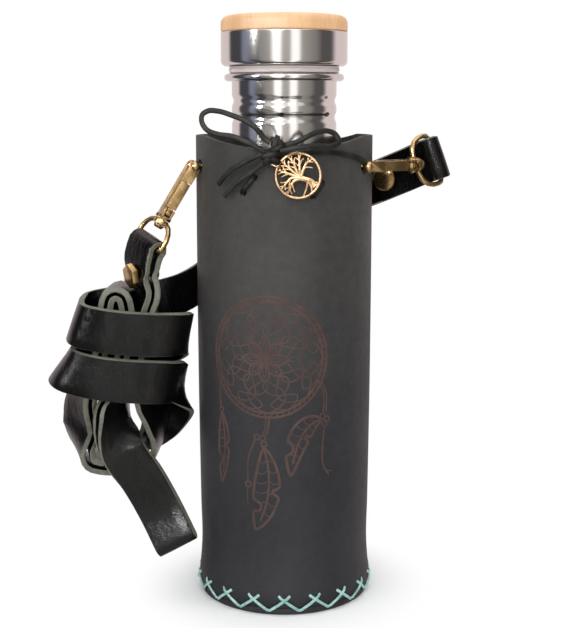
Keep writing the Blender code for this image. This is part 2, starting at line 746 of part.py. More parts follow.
def swivel_ring(side):
    frame = hook_frame(side)
    half_width = STRAP_WIDTH / 2 + RING_ROOM + RING_WIRE_RADIUS
    outline = [(share[0] * half_width, share[1] * RING_LENGTH) for share in RING_OUTLINE_SHARES]
    outline += [(-across, along) for across, along in reversed(outline[1:-1])]
    points = [frame["boss"] + frame["bar_axis"] * across + frame["ring_along"] * along
              for across, along in outline]
    normal = frame["bar_axis"].cross(frame["ring_along"])
    wire = skinned(tube_rings(points, RING_WIRE_RADIUS, 8, closed=True, side_axis=normal), closed=True)
    half_boss = frame["ring_along"] * (RING_BOSS_LENGTH / 2)
    boss = rod(frame["boss"] - half_boss, frame["boss"] + half_boss, RING_BOSS_RADIUS, 14)
    bore = frame["along"] * (RING_BOSS_LENGTH + RING_WIRE_RADIUS)
    cuts = [rod(frame["boss"] - bore, frame["boss"] + bore, POST_RADIUS + RING_BORE_ROOM, 10)]
    return joined("swivel_ring_" + side["name"], [boss, wire], antique_brass(), cuts, frame["boss"])


# Strap route, as key frames: a point of the strap's middle and the way its width lies.
# Each row is (x, y, z) in twentieths of the strap's width from the hank's middle, then the width's way.
TWENTIETH_SHARE = 0.05
# The doubled run: from the bight of the tail up through the hank, over its top and down the left leg
DOUBLED_SHARES = [
    (20.1, -12.5, -84.7, 0.88, 0.0, 0.475), (13, -13, -71.5, 0.88, 0.0, 0.475),
    (4.5, -14, -55.7, 0.87, 0.05, 0.48), (-3.8, -14, -43, 0.82, 0.25, 0.5),
    (-7.6, -9.8, -32.5, 0.5, 0.84, 0.22), (-7.2, 0, -21.5, 0.03, 1, 0), (-5.5, 0, -11, 0, 1, 0),
    (-2, 0, 10, 0, 1, 0), (-1.2, 0, 23, 0, 1, 0), (-2.6, 0, 27.3, 0, 1, 0), (-5.8, 0, 28.8, 0, 1, 0),
    (-9, 0, 27.3, 0, 1, 0), (-10.4, 0, 23, 0, 1, 0), (-13.5, 0, 6, -0.08, 1, 0),
    (-18.5, 0, -12, -0.28, 0.96, 0), (-24, -1, -23, -0.58, 0.81, 0), (-24.5, 0.5, -35, -0.72, 0.69, 0),
    (-24, 2.5, -45.5, -0.35, 0.93, 0.1), (-20.5, 3, -51.7, -0.1, 0.99, 0), (-14.5, 3, -53.4, 0, 1, 0)]
# The middle between the two limbs below the left ring
LIMB_SHARES = [(5.6, 0.2, 42.5, -0.558, 0.795, 0.239), (5.8, 0, 37, -0.55, 0.8, 0.23),
               (9, -0.2, 29.5, -0.25, 0.96, 0.05), (8.5, 0, 20, 0, 1, 0), (8.4, 0, 9, 0, 1, 0)]
# From the long limb down through the hank, round the right loop and under to the left corner
LOOP_SHARES = [
    (5.6, 0, -3, 0.1, 0.99, 0), (5.4, 0, -10, 0.35, 0.93, 0), (6.6, -0.5, -18, 0.5, 0.86, 0),
    (8.2, -0.5, -24, 0.55, 0.83, 0), (10.4, 1, -31, 0.42, 0.9, 0), (11, 3, -39, 0.2, 0.98, 0),
    (9.9, 3, -46.5, 0.05, 1, 0), (6.2, 3, -53, 0, 1, 0), (0, 3, -55.4, 0, 1, 0), (-8, 3, -55.7, 0, 1, 0)]
# From the left corner behind the hank, twice round it and off to the case
WRAP_SHARES = [
    (-10, 4.6, -49.9, 0.1, -0.99, 0.05), (-4.6, 7.6, -48.2, 0.3, -0.9, 0.3), (1, 12, -45.2, 0.2, -0.7, 0.65),
    (6, 16.5, -42, -0.15, -0.2, 0.97),
    (11.5, 17, -37, -0.35, 0, 0.93), (17, 15.8, -30, -0.5, 0, 0.85),
    (21.3, 10.5, -22, -0.2, 0, 0.97), (21, 0, -14, 0.25, 0, 0.97), (17.5, -10, -11.9, 0.2, 0, 0.98),
    (10, -13.7, -11, 0.1, 0, 1), (-3, -14.4, -10.2, 0.1, 0, 1), (-19, -13.7, -8.2, 0.3, 0, 0.95),
    (-29, -9.5, -6.2, 0.5, 0, 0.86), (-32.3, 0, -5.2, 0.6, 0, 0.8), (-28.5, 9, -4.5, 0.5, 0, 0.87),
    (-18, 13, -3.7, 0.3, 0, 0.95), (-2, 13.4, -2.5, 0.1, 0, 1), (13, 13.2, 1, 0.05, 0, 1),
    (22, 9, 6.3, 0, 0, 1), (25.2, 0, 9, 0.2, 0, 0.98), (21.7, -9.5, 10.3, 0.2, 0, 0.98),
    (13, -13.3, 10.7, 0.12, 0, 0.99), (0, -13.8, 11.4, 0.1, 0, 1), (-14, -13, 13, 0.2, 0, 0.98),
    (-22.6, -9.2, 14.3, 0.33, 0, 0.94), (-25.7, 0, 15.6, 0.34, 0, 0.94), (-22.8, 9.2, 17, 0.3, 0, 0.95),
    (-13, 13.6, 18.3, 0.15, 0, 0.99), (2, 15.5, 19.8, 0.05, 0, 1), (14, 18.8, 22, 0, 0, 1)]


def hank_middle():
    return Vector((-(CASE_RADIUS + HANK_STANDOFF), HANK_DEPTH, HANK_HEIGHT))


def hank_keys(rows, turned_over=1):
    return [(hank_middle() + Vector(row[:3]) * (STRAP_WIDTH * TWENTIETH_SHARE),
             Vector(row[3:]) * turned_over) for row in rows]


def half_spacing():
    return (STRAP_THICKNESS + STRAP_LAYER_GAP) / 2


def fold_radius():
    return RING_WIRE_RADIUS + RING_ROOM + STRAP_THICKNESS / 2


def smooth_frames(keys, step):
    # Stations on a smooth curve through the keys, and where each key lies among them.
    points = [key[0] for key in keys]
    spans = [(after - before).length for before, after in zip(points, points[1:])]
    slopes = [(points[1] - points[0]) / spans[0]]
    for index in range(1, len(points) - 1):
        before = (points[index] - points[index - 1]) / spans[index - 1]
        after = (points[index + 1] - points[index]) / spans[index]
        total = spans[index - 1] + spans[index]
        slopes.append(before * (spans[index] / total) + after * (spans[index - 1] / total))
    slopes.append((points[-1] - points[-2]) / spans[-1])
    line = []
    places = []
    for index, span in enumerate(spans):
        pieces = max(1, round(span / step))
        places.append(len(line))
        for piece in range(pieces):
            t = piece / pieces
            line.append((hermite(points[index], points[index + 1], slopes[index] * span,
                                 slopes[index + 1] * span, t),
                         keys[index][1].lerp(keys[index + 1][1], t)))
    places.append(len(line))
    line.append(keys[-1][:2])
    return framed(line), places


def framed(line):
    # Each station: its point, the unit way of its width and the normal of its face.
    stations = []
    for index, (point, width) in enumerate(line):
        travel = line[min(index + 1, len(line) - 1)][0] - line[max(index - 1, 0)][0]
        travel.normalize()
        width = (width - travel * width.dot(travel)).normalized()
        stations.append((point, width, travel.cross(width)))
    return stations


def backward(stations):
    return [(point, width, -normal) for point, width, normal in reversed(stations)]


def shifted(stations, offsets):
    return [(point + normal * offset, width, normal)
            for (point, width, normal), offset in zip(stations, offsets)]


def layer_offsets(stations):
    # How far two layers lie from the middle between them: farther where they twist together.
    shares = []
    for index in range(len(stations)):
        before = stations[max(index - 1, 0)]
        after = stations[min(index + 1, len(stations) - 1)]
        twist = before[1].angle(after[1]) / (after[0] - before[0]).length * STRAP_WIDTH / 2
        shares.append(math.sqrt(1 + twist * twist))
    return [half_spacing() * max(shares[max(index - 1, 0):index + 2]) for index in range(len(shares))]


def half_turn(middle, width, start, outward, radius, steps):
    # Half a turn about a middle, from the start side over the outward side.
    stations = []
    for step in range(1, steps):
        turn = math.pi * step / steps
        travel = outward * math.cos(turn) - start * math.sin(turn)
        stations.append((middle + start * (radius * math.cos(turn)) + outward * (radius * math.sin(turn)),
                         width, travel.cross(width)))
    return stations


def limb_pair(keys, toward):
    # Two layers that part to go round a ring's bar, both listed from the bar on.
    middle, _ = smooth_frames(keys, STRAP_STEP)
    side = 1 if middle[0][2].dot(toward) > 0 else -1
    spread = fold_radius() - half_spacing()
    offsets = []
    for station, offset in zip(middle, layer_offsets(middle)):
        part = min(1, (station[0] - middle[0][0]).length / STRAP_WIDTH)
        offsets.append(offset + spread * (1 - part) ** 2)
    return (shifted(middle, [side * offset for offset in offsets]),
            shifted(middle, [-side * offset for offset in offsets]))


def left_limbs():
    frame = hook_frame(LEFT)
    width = frame["bar_axis"]
    limbs = hank_keys(LIMB_SHARES)
    down = limbs[0][0] - frame["bar"]
    down = (down - width * down.dot(width)).normalized()
    start = [(frame["bar"], width), (frame["bar"] + down * STRAP_THICKNESS, width)]
    toward = width.cross(down)
    long, short = limb_pair(start + limbs, toward)
    fold = half_turn(frame["bar"], width, -toward, -down, fold_radius(), 6)
    return long, short, fold


def back_keys():
    radius = CASE_RADIUS + 2 * PIECE_GAP + THREAD_THICKNESS + BACK_ROOM + STRAP_THICKNESS / 2
    steps = 7
    keys = []
    for step in range(steps + 1):
        part = step / steps
        keys.append((around(BACK_START + (BACK_END - BACK_START) * part, radius,
                            HOOK_HEIGHT - BACK_LOW_DROP + (BACK_LOW_DROP - BACK_HIGH_DROP) * part),
                     Vector((0, 0, -1))))
    return keys


def right_limbs():
    frame = hook_frame(RIGHT)
    width = -frame["bar_axis"]
    target = back_keys()[-1][0]
    toward = (target - frame["bar"]).cross(width).normalized()
    if toward.y < 0:
        toward = -toward
    target = target - toward * half_spacing()
    inward = target - frame["bar"]
    far = frame["bar"] + inward.normalized() * SHORT_END_LENGTH
    inward = (inward - width * inward.dot(width)).normalized()
    keys = [(frame["bar"], width), (frame["bar"] + inward * STRAP_THICKNESS, width),
            ((frame["bar"] + far) / 2, width), (far, width.lerp(Vector((0, 0, -1)), 1 / 2))]
    main, short = limb_pair(keys, toward)
    fold = half_turn(frame["bar"], width, toward, -inward, fold_radius(), 6)
    return main, short, fold


def bridge(before, keys, after):
    # The smooth run between two finished stretches, without their own stations.
    ends = [station[:2] for station in before[-2:]] + list(keys) + [station[:2] for station in after[:2]]
    stations, places = smooth_frames(ends, STRAP_STEP)
    first = places[1] + 1
    last = places[-2] if after else len(stations)
    return stations[first:last], [place - first for place in places[2:2 + len(keys)]]


def whole_strap():
    # One unbroken strap from the short end at the left ring to the short end at the right one.
    half = half_spacing()
    long, short, left_fold = left_limbs()
    doubled, _ = smooth_frames(hank_keys(DOUBLED_SHARES), STRAP_STEP)
    offsets = layer_offsets(doubled)
    outer = shifted(doubled, [-offset for offset in offsets])
    inner = shifted(doubled, offsets)
    point, width, normal = doubled[0]
    travel = width.cross(normal)
    bight = half_turn(point, width, -normal, -travel, half, 4)
    strap = backward(short) + left_fold + long
    loop, _ = bridge(long, hank_keys(LOOP_SHARES), backward(outer))
    strap += loop + backward(outer) + bight + inner
    main, short_end, right_fold = right_limbs()
    wrap = hank_keys(WRAP_SHARES, -1)
    back = back_keys()
    run, places = bridge(inner, wrap + back, backward(main))
    left_end = len(strap) + places[len(wrap) - 1]
    back_end = len(strap) + places[-1]
    strap += run + backward(main) + right_fold + short_end
    return strap, left_end, back_end


def strap_rings(stations):
    return [[point + width * (across * STRAP_WIDTH / 2) + normal * (through * STRAP_THICKNESS / 2)
             for across, through in ((-1, -1), (1, -1), (1, 1), (-1, 1))]
            for point, width, normal in stations]


def strap_faces(rings):
    # Each quad between two rings is cut along its more forward diagonal, so that layers side by side
    # are cut alike.
    faces = []
    for index in range(len(rings) - 1):
        for side in range(4):
            after = (side + 1) % 4
            low, low_after = 4 * index + side, 4 * index + after
            high, high_after = low + 4, low_after + 4
            rising = rings[index][side] + rings[index + 1][after]
            falling = rings[index][after] + rings[index + 1][side]
            if (rising - falling).dot(CUT_WAY) > 0:
                faces += [(low, low_after, high_after), (low, high_after, high)]
            else:
                faces += [(low, low_after, high), (low_after, high_after, high)]
    return faces


def least_self_gap(stations, reach):
    # The smallest distance from the strap's surface points to a stretch of it farther along.
    rings = strap_rings(stations)
    corners = [point for ring in rings for point in ring]
    tree = BVHTree.FromPolygons(corners, strap_faces(rings))
    lengths = [0]
    for before, after in zip(stations, stations[1:]):
        lengths.append(lengths[-1] + (after[0] - before[0]).length)
    least = STRAP_WIDTH
    for index, ring in enumerate(rings):
        for side in range(4):
            for share in (0, 0.25, 0.5, 0.75):
                point = ring[side].lerp(ring[(side + 1) % 4], share)
                for _, _, face, distance in tree.find_nearest_range(point, STRAP_LAYER_GAP * 4):
                    if abs(lengths[face // 8] - lengths[index]) > reach:
                        least = min(least, distance)
    return least


def strap_piece(name, stations, cuts=(), origin=None):
    rings = strap_rings(stations)
    shape = bmesh.new()
    corners = [shape.verts.new(point) for ring in rings for point in ring]
    ends = [(0, 1, 2, 3), tuple(range(len(corners) - 4, len(corners)))]
    for face in strap_faces(rings) + ends:
        shape.faces.new([corners[index] for index in face])
    return joined(name, [shape], strap_leather(), cuts, origin)


def trimmed(stations, first, last):
    # A stretch of the strap that stops half the cut's gap short of each neighbour.
    piece = list(stations[first:last + 1])
    half = STRAP_CUT_GAP / 2
    for index, way, cut in ((0, 1, first > 0), (-1, -1, last < len(stations) - 1)):
        if cut:
            point, width, normal = piece[index]
            piece[index] = (point + width.cross(normal) * (way * half), width, normal)
    return piece


def straps():
    stations, left_end, back_end = whole_strap()
    gap = least_self_gap(stations, STRAP_THICKNESS * 3)
    print("least gap of the strap to itself, mm:", round(gap * 1000, 2))
    return [strap_piece("strap_left", trimmed(stations, 0, left_end),
                        [shank_hole(screw_place(), SCREW_SHANK_RADIUS)], hook_frame(LEFT)["boss"]),
            strap_piece("strap_back", trimmed(stations, left_end, back_end)),
            strap_piece("strap_right", trimmed(stations, back_end, len(stations) - 1),
                        [shank_hole(rivet_place(), RIVET_SHANK_RADIUS)], hook_frame(RIGHT)["boss"])]


def shank_hole(place, radius):
    middle, outward, half_stack = place
    reach = outward * (half_stack + STRAP_THICKNESS)
    return rod(middle - reach, middle + reach, radius + PIECE_GAP, 10)


# Strap fasteners: the middle between two limbs, the way the head faces, and half the stack's depth
def between(first, second, distance):
    # The middle between two limbs at a distance from the bar, and the way from the second to the first.
    run = 0
    for index in range(1, len(first)):
        run += (first[index][0] + second[index][0] - first[index - 1][0] - second[index - 1][0]).length / 2
        if run >= distance:
            break
    apart = first[index][0] - second[index][0]
    return ((first[index][0] + second[index][0]) / 2, apart.normalized(),
            apart.length / 2 + STRAP_THICKNESS / 2)


def screw_place():
    long, short, _ = left_limbs()
    return between(long, short, SCREW_DISTANCE)


def rivet_place():
    main, short, _ = right_limbs()
    return between(short, main, RIVET_DISTANCE)


def seated(place):
    middle, outward, half_stack = place
    return middle + outward * (half_stack + FASTENER_ROOM), middle - outward * (half_stack + FASTENER_ROOM)


def hex_screw():
    middle, outward, _ = screw_place()
    seat, back = seated(screw_place())
    shapes = [rod(seat, seat + outward * SCREW_HEAD_HEIGHT, SCREW_ACROSS / 2, 6, SCREW_ACROSS / 2 * 0.94),
              rod(back, seat + outward * (SCREW_HEAD_HEIGHT / 2), SCREW_SHANK_RADIUS, 10)]
    return joined("hex_screw", shapes, antique_brass(), origin=middle)


def screw_post():
    middle, outward, _ = screw_place()
    _, back = seated(screw_place())
    low = back - outward * (PIECE_GAP + RIVET_CAP_HEIGHT)
    shape = rod(low, low + outward * RIVET_CAP_HEIGHT, SCREW_POST_RADIUS, 14)
    return finish_object("screw_post", shape, antique_brass(), middle)


def dome_rivet():
    middle, outward, _ = rivet_place()
    seat, back = seated(rivet_place())
    sides = 16
    turn = outward.to_track_quat("Z", "Y")
    rings = []
    for step in range(4):
        rise = math.pi / 2 * step / 4
        ring = [seat + turn @ Vector((RIVET_RADIUS * math.cos(rise) * math.cos(math.tau * side / sides),
                                      RIVET_RADIUS * math.cos(rise) * math.sin(math.tau * side / sides),
                                      RIVET_DOME_HEIGHT * math.sin(rise))) for side in range(sides)]
        rings.append(ring)
    shapes = [skinned(rings), rod(back, seat + outward * (RIVET_DOME_HEIGHT / 2), RIVET_SHANK_RADIUS, 10)]
    return joined("dome_rivet", shapes, antique_brass(), origin=middle)


def rivet_cap():
    middle, outward, _ = rivet_place()
    _, back = seated(rivet_place())
    low = back - outward * (PIECE_GAP + RIVET_CAP_HEIGHT)
    shape = rod(low, low + outward * RIVET_CAP_HEIGHT, SCREW_POST_RADIUS, 14)
    return finish_object("rivet_cap", shape, antique_brass(), middle)


# Lace and charm at the front of the rim. A lace's route is a hand-laid list of points in shares of the
# case's radius, from the middle of the case at its full height.
LACE_LOOP_LEFT_SHARES = [
    (-0.1921, -1.1084, -0.0271), (-0.2833, -1.1232, 0.0862), (-0.4015, -1.1010, 0.1675),
    (-0.5493, -1.0591, 0.2266), (-0.6970, -0.9852, 0.2685), (-0.8054, -0.9360, 0.2685),
    (-0.8670, -0.9163, 0.2266), (-0.8719, -0.9163, 0.1626), (-0.8300, -0.9409, 0.0862),
    (-0.6995, -1.0148, 0.0296), (-0.5493, -1.0764, 0.0099), (-0.3892, -1.1281, -0.0493),
    (-0.2537, -1.1305, -0.1232)]
LACE_LOOP_RIGHT_SHARES = [
    (0.0246, -1.0837, -0.0788), (0.1355, -1.0739, -0.0493), (0.2512, -1.0690, 0.0099),
    (0.3522, -1.0345, 0.0517), (0.4581, -0.9852, 0.0616), (0.5443, -0.9581, 0.0246),
    (0.5813, -0.9803, -0.0493), (0.5296, -1.0468, -0.0862), (0.3399, -1.1379, -0.0911),
    (0.1724, -1.1872, -0.0985), (0.0296, -1.1823, -0.1281)]
LACE_RUN_RIGHT_SHARES = [
    (0.0296, -1.1133, -0.2044), (0.1478, -1.1256, -0.1749), (0.3522, -1.0862, -0.1429),
    (0.5567, -0.9507, -0.1576), (0.7143, -0.8030, -0.1970), (0.8177, -0.6872, -0.2217),
    (0.8916, -0.5985, -0.2512)]
LACE_TAIL_A_SHARES = [
    (-0.2463, -1.0985, -0.1823), (-0.4236, -1.0246, -0.2685), (-0.5862, -0.9113, -0.3695),
    (-0.7094, -0.8103, -0.5074)]
LACE_TAIL_B_SHARES = [
    (-0.2217, -1.0887, -0.2759), (-0.3079, -1.0493, -0.3448), (-0.4310, -1.0000, -0.4310),
    (-0.5419, -0.9335, -0.5222), (-0.6429, -0.8621, -0.6355)]


def lace_route(shares):
    return [Vector((x * CASE_RADIUS, y * CASE_RADIUS, CASE_HEIGHT + z * CASE_RADIUS)) for x, y, z in shares]


def lace(name, route):
    step = LACE_THICKNESS * 2.2
    points = smooth_run(route, step)
    curve = bpy.data.curves.new(name, "CURVE")
    curve.dimensions = "3D"
    curve.bevel_depth = LACE_THICKNESS / 2
    curve.bevel_resolution = 2
    curve.use_fill_caps = True
    spline = curve.splines.new("POLY")
    spline.points.add(len(points) - 1)
    for spot, point in zip(spline.points, points):
        spot.co = (*point, 1)
    curve.materials.append(lace_leather())
    made = bpy.data.objects.new(name, curve)
    bpy.context.scene.collection.objects.link(made)
    return made


def lace_stitch(name, holes):
    # The lace comes out of one hole, lies on the leather and goes back in at the other.
    (first, low), (second, high) = holes
    inside = CASE_RADIUS - CASE_WALL
    outside = CASE_RADIUS + PIECE_GAP + LACE_THICKNESS / 2
    route = []
    for part, radius in ((0, inside), (0, (inside + outside) / 2), (0.16, outside), (0.5, outside),
                         (0.84, outside), (1, (inside + outside) / 2), (1, inside)):
        route.append(around(first + (second - first) * part, radius, low + (high - low) * part))
    return lace(name, route)


def knot_middle():
    return Vector((KNOT_SIDE, -(CASE_RADIUS + PIECE_GAP + KNOT_HALF_DEPTH), rim_height(0) + KNOT_RISE))


def lace_knot():
    shape = ball(knot_middle(), 1, 14, 10, (KNOT_HALF_WIDTH, KNOT_HALF_DEPTH, KNOT_HALF_HEIGHT))
    return finish_object("lace_knot", shape, lace_leather())


# Tree of the charm: trunk, branches and roots as tapered bars, in shares of the charm's radius
TREE_SHARES = [((0.30, -0.72), (-0.02, -0.08), 0.26), ((-0.02, -0.08), (-0.50, 0.72), 0.15),
               ((-0.02, -0.08), (-0.90, 0.02), 0.13), ((-0.02, -0.08), (0.16, 0.88), 0.14),
               ((-0.05, 0.02), (0.72, 0.52), 0.13), ((-0.25, 0.28), (-0.14, 0.88), 0.10),
               ((-0.28, 0.30), (-0.60, 0.66), 0.09), ((0.30, 0.22), (0.47, 0.75), 0.09),
               ((0.30, 0.22), (0.88, 0.14), 0.09), ((0.20, -0.45), (-0.55, -0.70), 0.11),
               ((0.24, -0.45), (0.80, -0.42), 0.11), ((-0.36, -0.02), (-0.84, -0.24), 0.08)]


def charm_middle():
    return Vector((CHARM_SIDE, -(CASE_RADIUS + PIECE_GAP + CHARM_ROOM + CHARM_THICKNESS / 2),
                   CASE_HEIGHT - CHARM_DROP))


def charm_disc():
    middle = charm_middle()
    steps = 28
    points = [middle + Vector((math.sin(math.tau * step / steps), 0, math.cos(math.tau * step / steps)))
              * (CHARM_RADIUS - CHARM_RIM / 2) for step in range(steps)]
    shapes = [skinned(tube_rings(points, CHARM_RIM * 0.7, 4, closed=True, side_axis=Vector((0, 1, 0))),
                      closed=True)]
    for number, (start, end, width) in enumerate(TREE_SHARES):
        low = middle + Vector((start[0], 0, start[1])) * CHARM_RADIUS
        high = middle + Vector((end[0], 0, end[1])) * CHARM_RADIUS
        along = high - low
        across = along.cross(Vector((0, 1, 0))).normalized() * (CHARM_RADIUS * width / 2)
        depth = Vector((0, CHARM_THICKNESS / 2 * (CHARM_LIMB_SHARE - CHARM_LIMB_STEP_SHARE * number), 0))
        rings = [[low - across - depth, low + across - depth, low + across + depth, low - across + depth],
                 [high - across * 0.5 - depth, high + across * 0.5 - depth,
                  high + across * 0.5 + depth, high - across * 0.5 + depth]]
        shapes.append(skinned(rings))
    return joined("charm_disc", shapes, antique_copper(), origin=charm_pivot())


def charm_pivot():
    # Where the jump ring hangs in the lace, up and left of the disc.
    away = Vector(CHARM_HANG).normalized()
    return charm_middle() + away * (CHARM_RADIUS + CHARM_RING_RADIUS - CHARM_RING_WIRE * 2)


def charm_ring():
    # Stands across the charm's rim, from behind it to in front of it.
    away = Vector(CHARM_HANG).normalized()
    middle = charm_middle() + away * (CHARM_RADIUS - CHARM_RIM / 2 + CHARM_RING_SHIFT)
    steps = 16
    points = [middle + away * (CHARM_RING_RADIUS * math.cos(math.tau * step / steps))
              + Vector((0, CHARM_RING_DEPTH * math.sin(math.tau * step / steps), 0)) for step in range(steps)]
    shape = skinned(tube_rings(points, CHARM_RING_WIRE, 6, closed=True), closed=True)
    return finish_object("charm_ring", shape, antique_copper(), charm_pivot())


def build_case():
    clear_scene()
    case_body()
    base_disc()
    base_stitching()
    seam_stitching()
    bottle_shell()
    cap_seal()
    cap_plug()
    cap_shell()
    bamboo_disc()
    for side in (LEFT, RIGHT):
        hook(side)
        gate(side)
        gate_pin(side)
        swivel_post(side)
        swivel_ring(side)
    straps()
    hex_screw()
    screw_post()
    dome_rivet()
    rivet_cap()
    lace("lace_loop_left", lace_route(LACE_LOOP_LEFT_SHARES))
    lace("lace_loop_right", lace_route(LACE_LOOP_RIGHT_SHARES))
    lace("lace_run_right", lace_route(LACE_RUN_RIGHT_SHARES))
    lace("lace_tail_a", lace_route(LACE_TAIL_A_SHARES))
    lace("lace_tail_b", lace_route(LACE_TAIL_B_SHARES))
    lace_stitch("lace_stitch_left", lacing_holes(LACE_HOLES_LEFT))
    lace_stitch("lace_stitch_right", lacing_holes(LACE_HOLES_RIGHT))
    lace_knot()
    charm_disc()
    charm_ring()


build_case()
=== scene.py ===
import json
import math

import bmesh
import bpy
from mathutils import Matrix, Vector

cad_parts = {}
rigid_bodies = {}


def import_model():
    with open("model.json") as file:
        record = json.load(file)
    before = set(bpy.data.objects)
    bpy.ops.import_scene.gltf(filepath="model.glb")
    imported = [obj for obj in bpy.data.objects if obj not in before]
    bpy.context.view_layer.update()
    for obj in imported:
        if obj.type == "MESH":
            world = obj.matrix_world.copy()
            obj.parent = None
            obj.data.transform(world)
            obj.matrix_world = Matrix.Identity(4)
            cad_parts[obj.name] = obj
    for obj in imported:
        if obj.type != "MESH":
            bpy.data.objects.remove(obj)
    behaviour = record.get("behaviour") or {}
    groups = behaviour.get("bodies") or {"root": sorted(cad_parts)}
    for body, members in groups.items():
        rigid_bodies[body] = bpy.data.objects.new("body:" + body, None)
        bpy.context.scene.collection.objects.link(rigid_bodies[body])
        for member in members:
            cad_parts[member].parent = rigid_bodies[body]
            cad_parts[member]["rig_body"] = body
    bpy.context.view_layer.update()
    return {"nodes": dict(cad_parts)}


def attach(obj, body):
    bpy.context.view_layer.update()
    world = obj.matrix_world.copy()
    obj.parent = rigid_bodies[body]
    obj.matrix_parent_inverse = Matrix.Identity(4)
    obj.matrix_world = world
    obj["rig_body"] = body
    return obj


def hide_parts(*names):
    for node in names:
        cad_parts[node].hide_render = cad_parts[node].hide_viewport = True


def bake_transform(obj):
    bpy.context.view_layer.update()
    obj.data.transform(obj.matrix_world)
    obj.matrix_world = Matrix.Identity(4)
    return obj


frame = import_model()
print("frame loaded")


# Camera
view = {"place": (0.0006, -0.564, 0.231), "tilt": 80.16, "lens": 69.5, "sensor": 36}

camera = bpy.data.objects.new("camera", bpy.data.cameras.new("camera"))
camera.data.lens = view["lens"]
camera.data.sensor_width = view["sensor"]
camera.location = view["place"]
camera.rotation_euler = (math.radians(view["tilt"]), 0, 0)
bpy.context.scene.collection.objects.link(camera)
bpy.context.scene.camera = camera
bpy.context.scene.view_settings.view_transform = "Standard"


def meshOf(name, shape):
    mesh = bpy.data.meshes.new(name)
    shape.to_mesh(mesh)
    shape.free()
    return mesh


def link(name, mesh, materials=()):
    made = bpy.data.objects.new(name, mesh)
    for item in materials:
        mesh.materials.append(item)
    bpy.context.scene.collection.objects.link(made)
    return made


# Shader values that can be reckoned with
class Wire:
    def __init__(self, tree, socket):
        self.tree = tree
        self.socket = socket

    def math(self, operation, *others, clamp=False):
        node = self.tree.nodes.new("ShaderNodeMath")
        node.operation = operation
        node.use_clamp = clamp
        for slot, item in zip(node.inputs, (self,) + others):
            if isinstance(item, Wire):
                self.tree.links.new(item.socket, slot)
            else:
                slot.default_value = item
        return Wire(self.tree, node.outputs[0])

    def __add__(self, other):
        return self.math("ADD", other)

    def __sub__(self, other):
        return self.math("SUBTRACT", other)

    def __mul__(self, other):
        return self.math("MULTIPLY", other)

    def __truediv__(self, other):
        return self.math("DIVIDE", other)

    def __rsub__(self, other):
        return self * -1 + other

    def __rtruediv__(self, other):
        return self.math("POWER", -1) * other

    __radd__ = __add__
    __rmul__ = __mul__

    def step(self, low, high):
        # 0 below low, 1 above high, smooth between them.
        part = ((self - low) / (high - low)).math("ADD", 0, clamp=True)
        return part * part * (3 - part * 2)


class NodeMaker:
    def __init__(self, tree):
        self.tree = tree

    def feed(self, slot, value):
        if isinstance(value, Wire):
            self.tree.links.new(value.socket, slot)
        else:
            slot.default_value = value

    def node(self, kind, inputs=(), stops=(), **settings):
        made = self.tree.nodes.new(kind)
        for key, value in settings.items():
            setattr(made, key, value)
        for number, (place, tone) in enumerate(stops):  # a ramp comes with two stops of its own
            ramp = made.color_ramp.elements
            stop = ramp[number] if number < 2 else ramp.new(place)
            stop.position = place
            stop.color = (*tone, 1)
        for slot, value in dict(inputs).items():
            self.feed(made.inputs[slot], value)
        return made

    def wire(self, kind, inputs=(), output=0, **settings):
        return Wire(self.tree, self.node(kind, inputs, **settings).outputs[output])


class Surface(NodeMaker):
    def __init__(self, name, color, roughness, metallic=0.0, specular=0.5):
        self.material = bpy.data.materials.new(name)
        self.material.use_nodes = True
        super().__init__(self.material.node_tree)
        self.shader = self.tree.nodes["Principled BSDF"]
        self.give("Base Color", (*color, 1))
        self.give("Roughness", roughness)
        self.give("Metallic", metallic)
        self.give("Specular IOR Level", specular)

    def place(self, stretch=(1, 1, 1)):
        coords = self.wire("ShaderNodeTexCoord", output="Object")
        return self.wire("ShaderNodeMapping", {"Vector": coords, "Scale": stretch})

    def axis(self, name):
        coords = self.wire("ShaderNodeTexCoord", output="Object")
        return self.wire("ShaderNodeSeparateXYZ", {0: coords}, name)

    def noise(self, scale, detail, stretch=(1, 1, 1)):
        return self.wire("ShaderNodeTexNoise", {"Vector": self.place(stretch), "Scale": scale,
                                                "Detail": detail, "Roughness": 0.55})

    def cells(self, scale, feature="F1"):
        return self.wire("ShaderNodeTexVoronoi", {"Vector": self.place(), "Scale": scale}, "Distance",
                         feature=feature)

    def blend(self, share, low, high):
        low, high = (tone if isinstance(tone, Wire) else (*tone, 1) for tone in (low, high))
        return self.wire("ShaderNodeMix", {0: share, 6: low, 7: high}, 2, data_type="RGBA")

    def give(self, slot, value):
        self.feed(self.shader.inputs[slot], value)


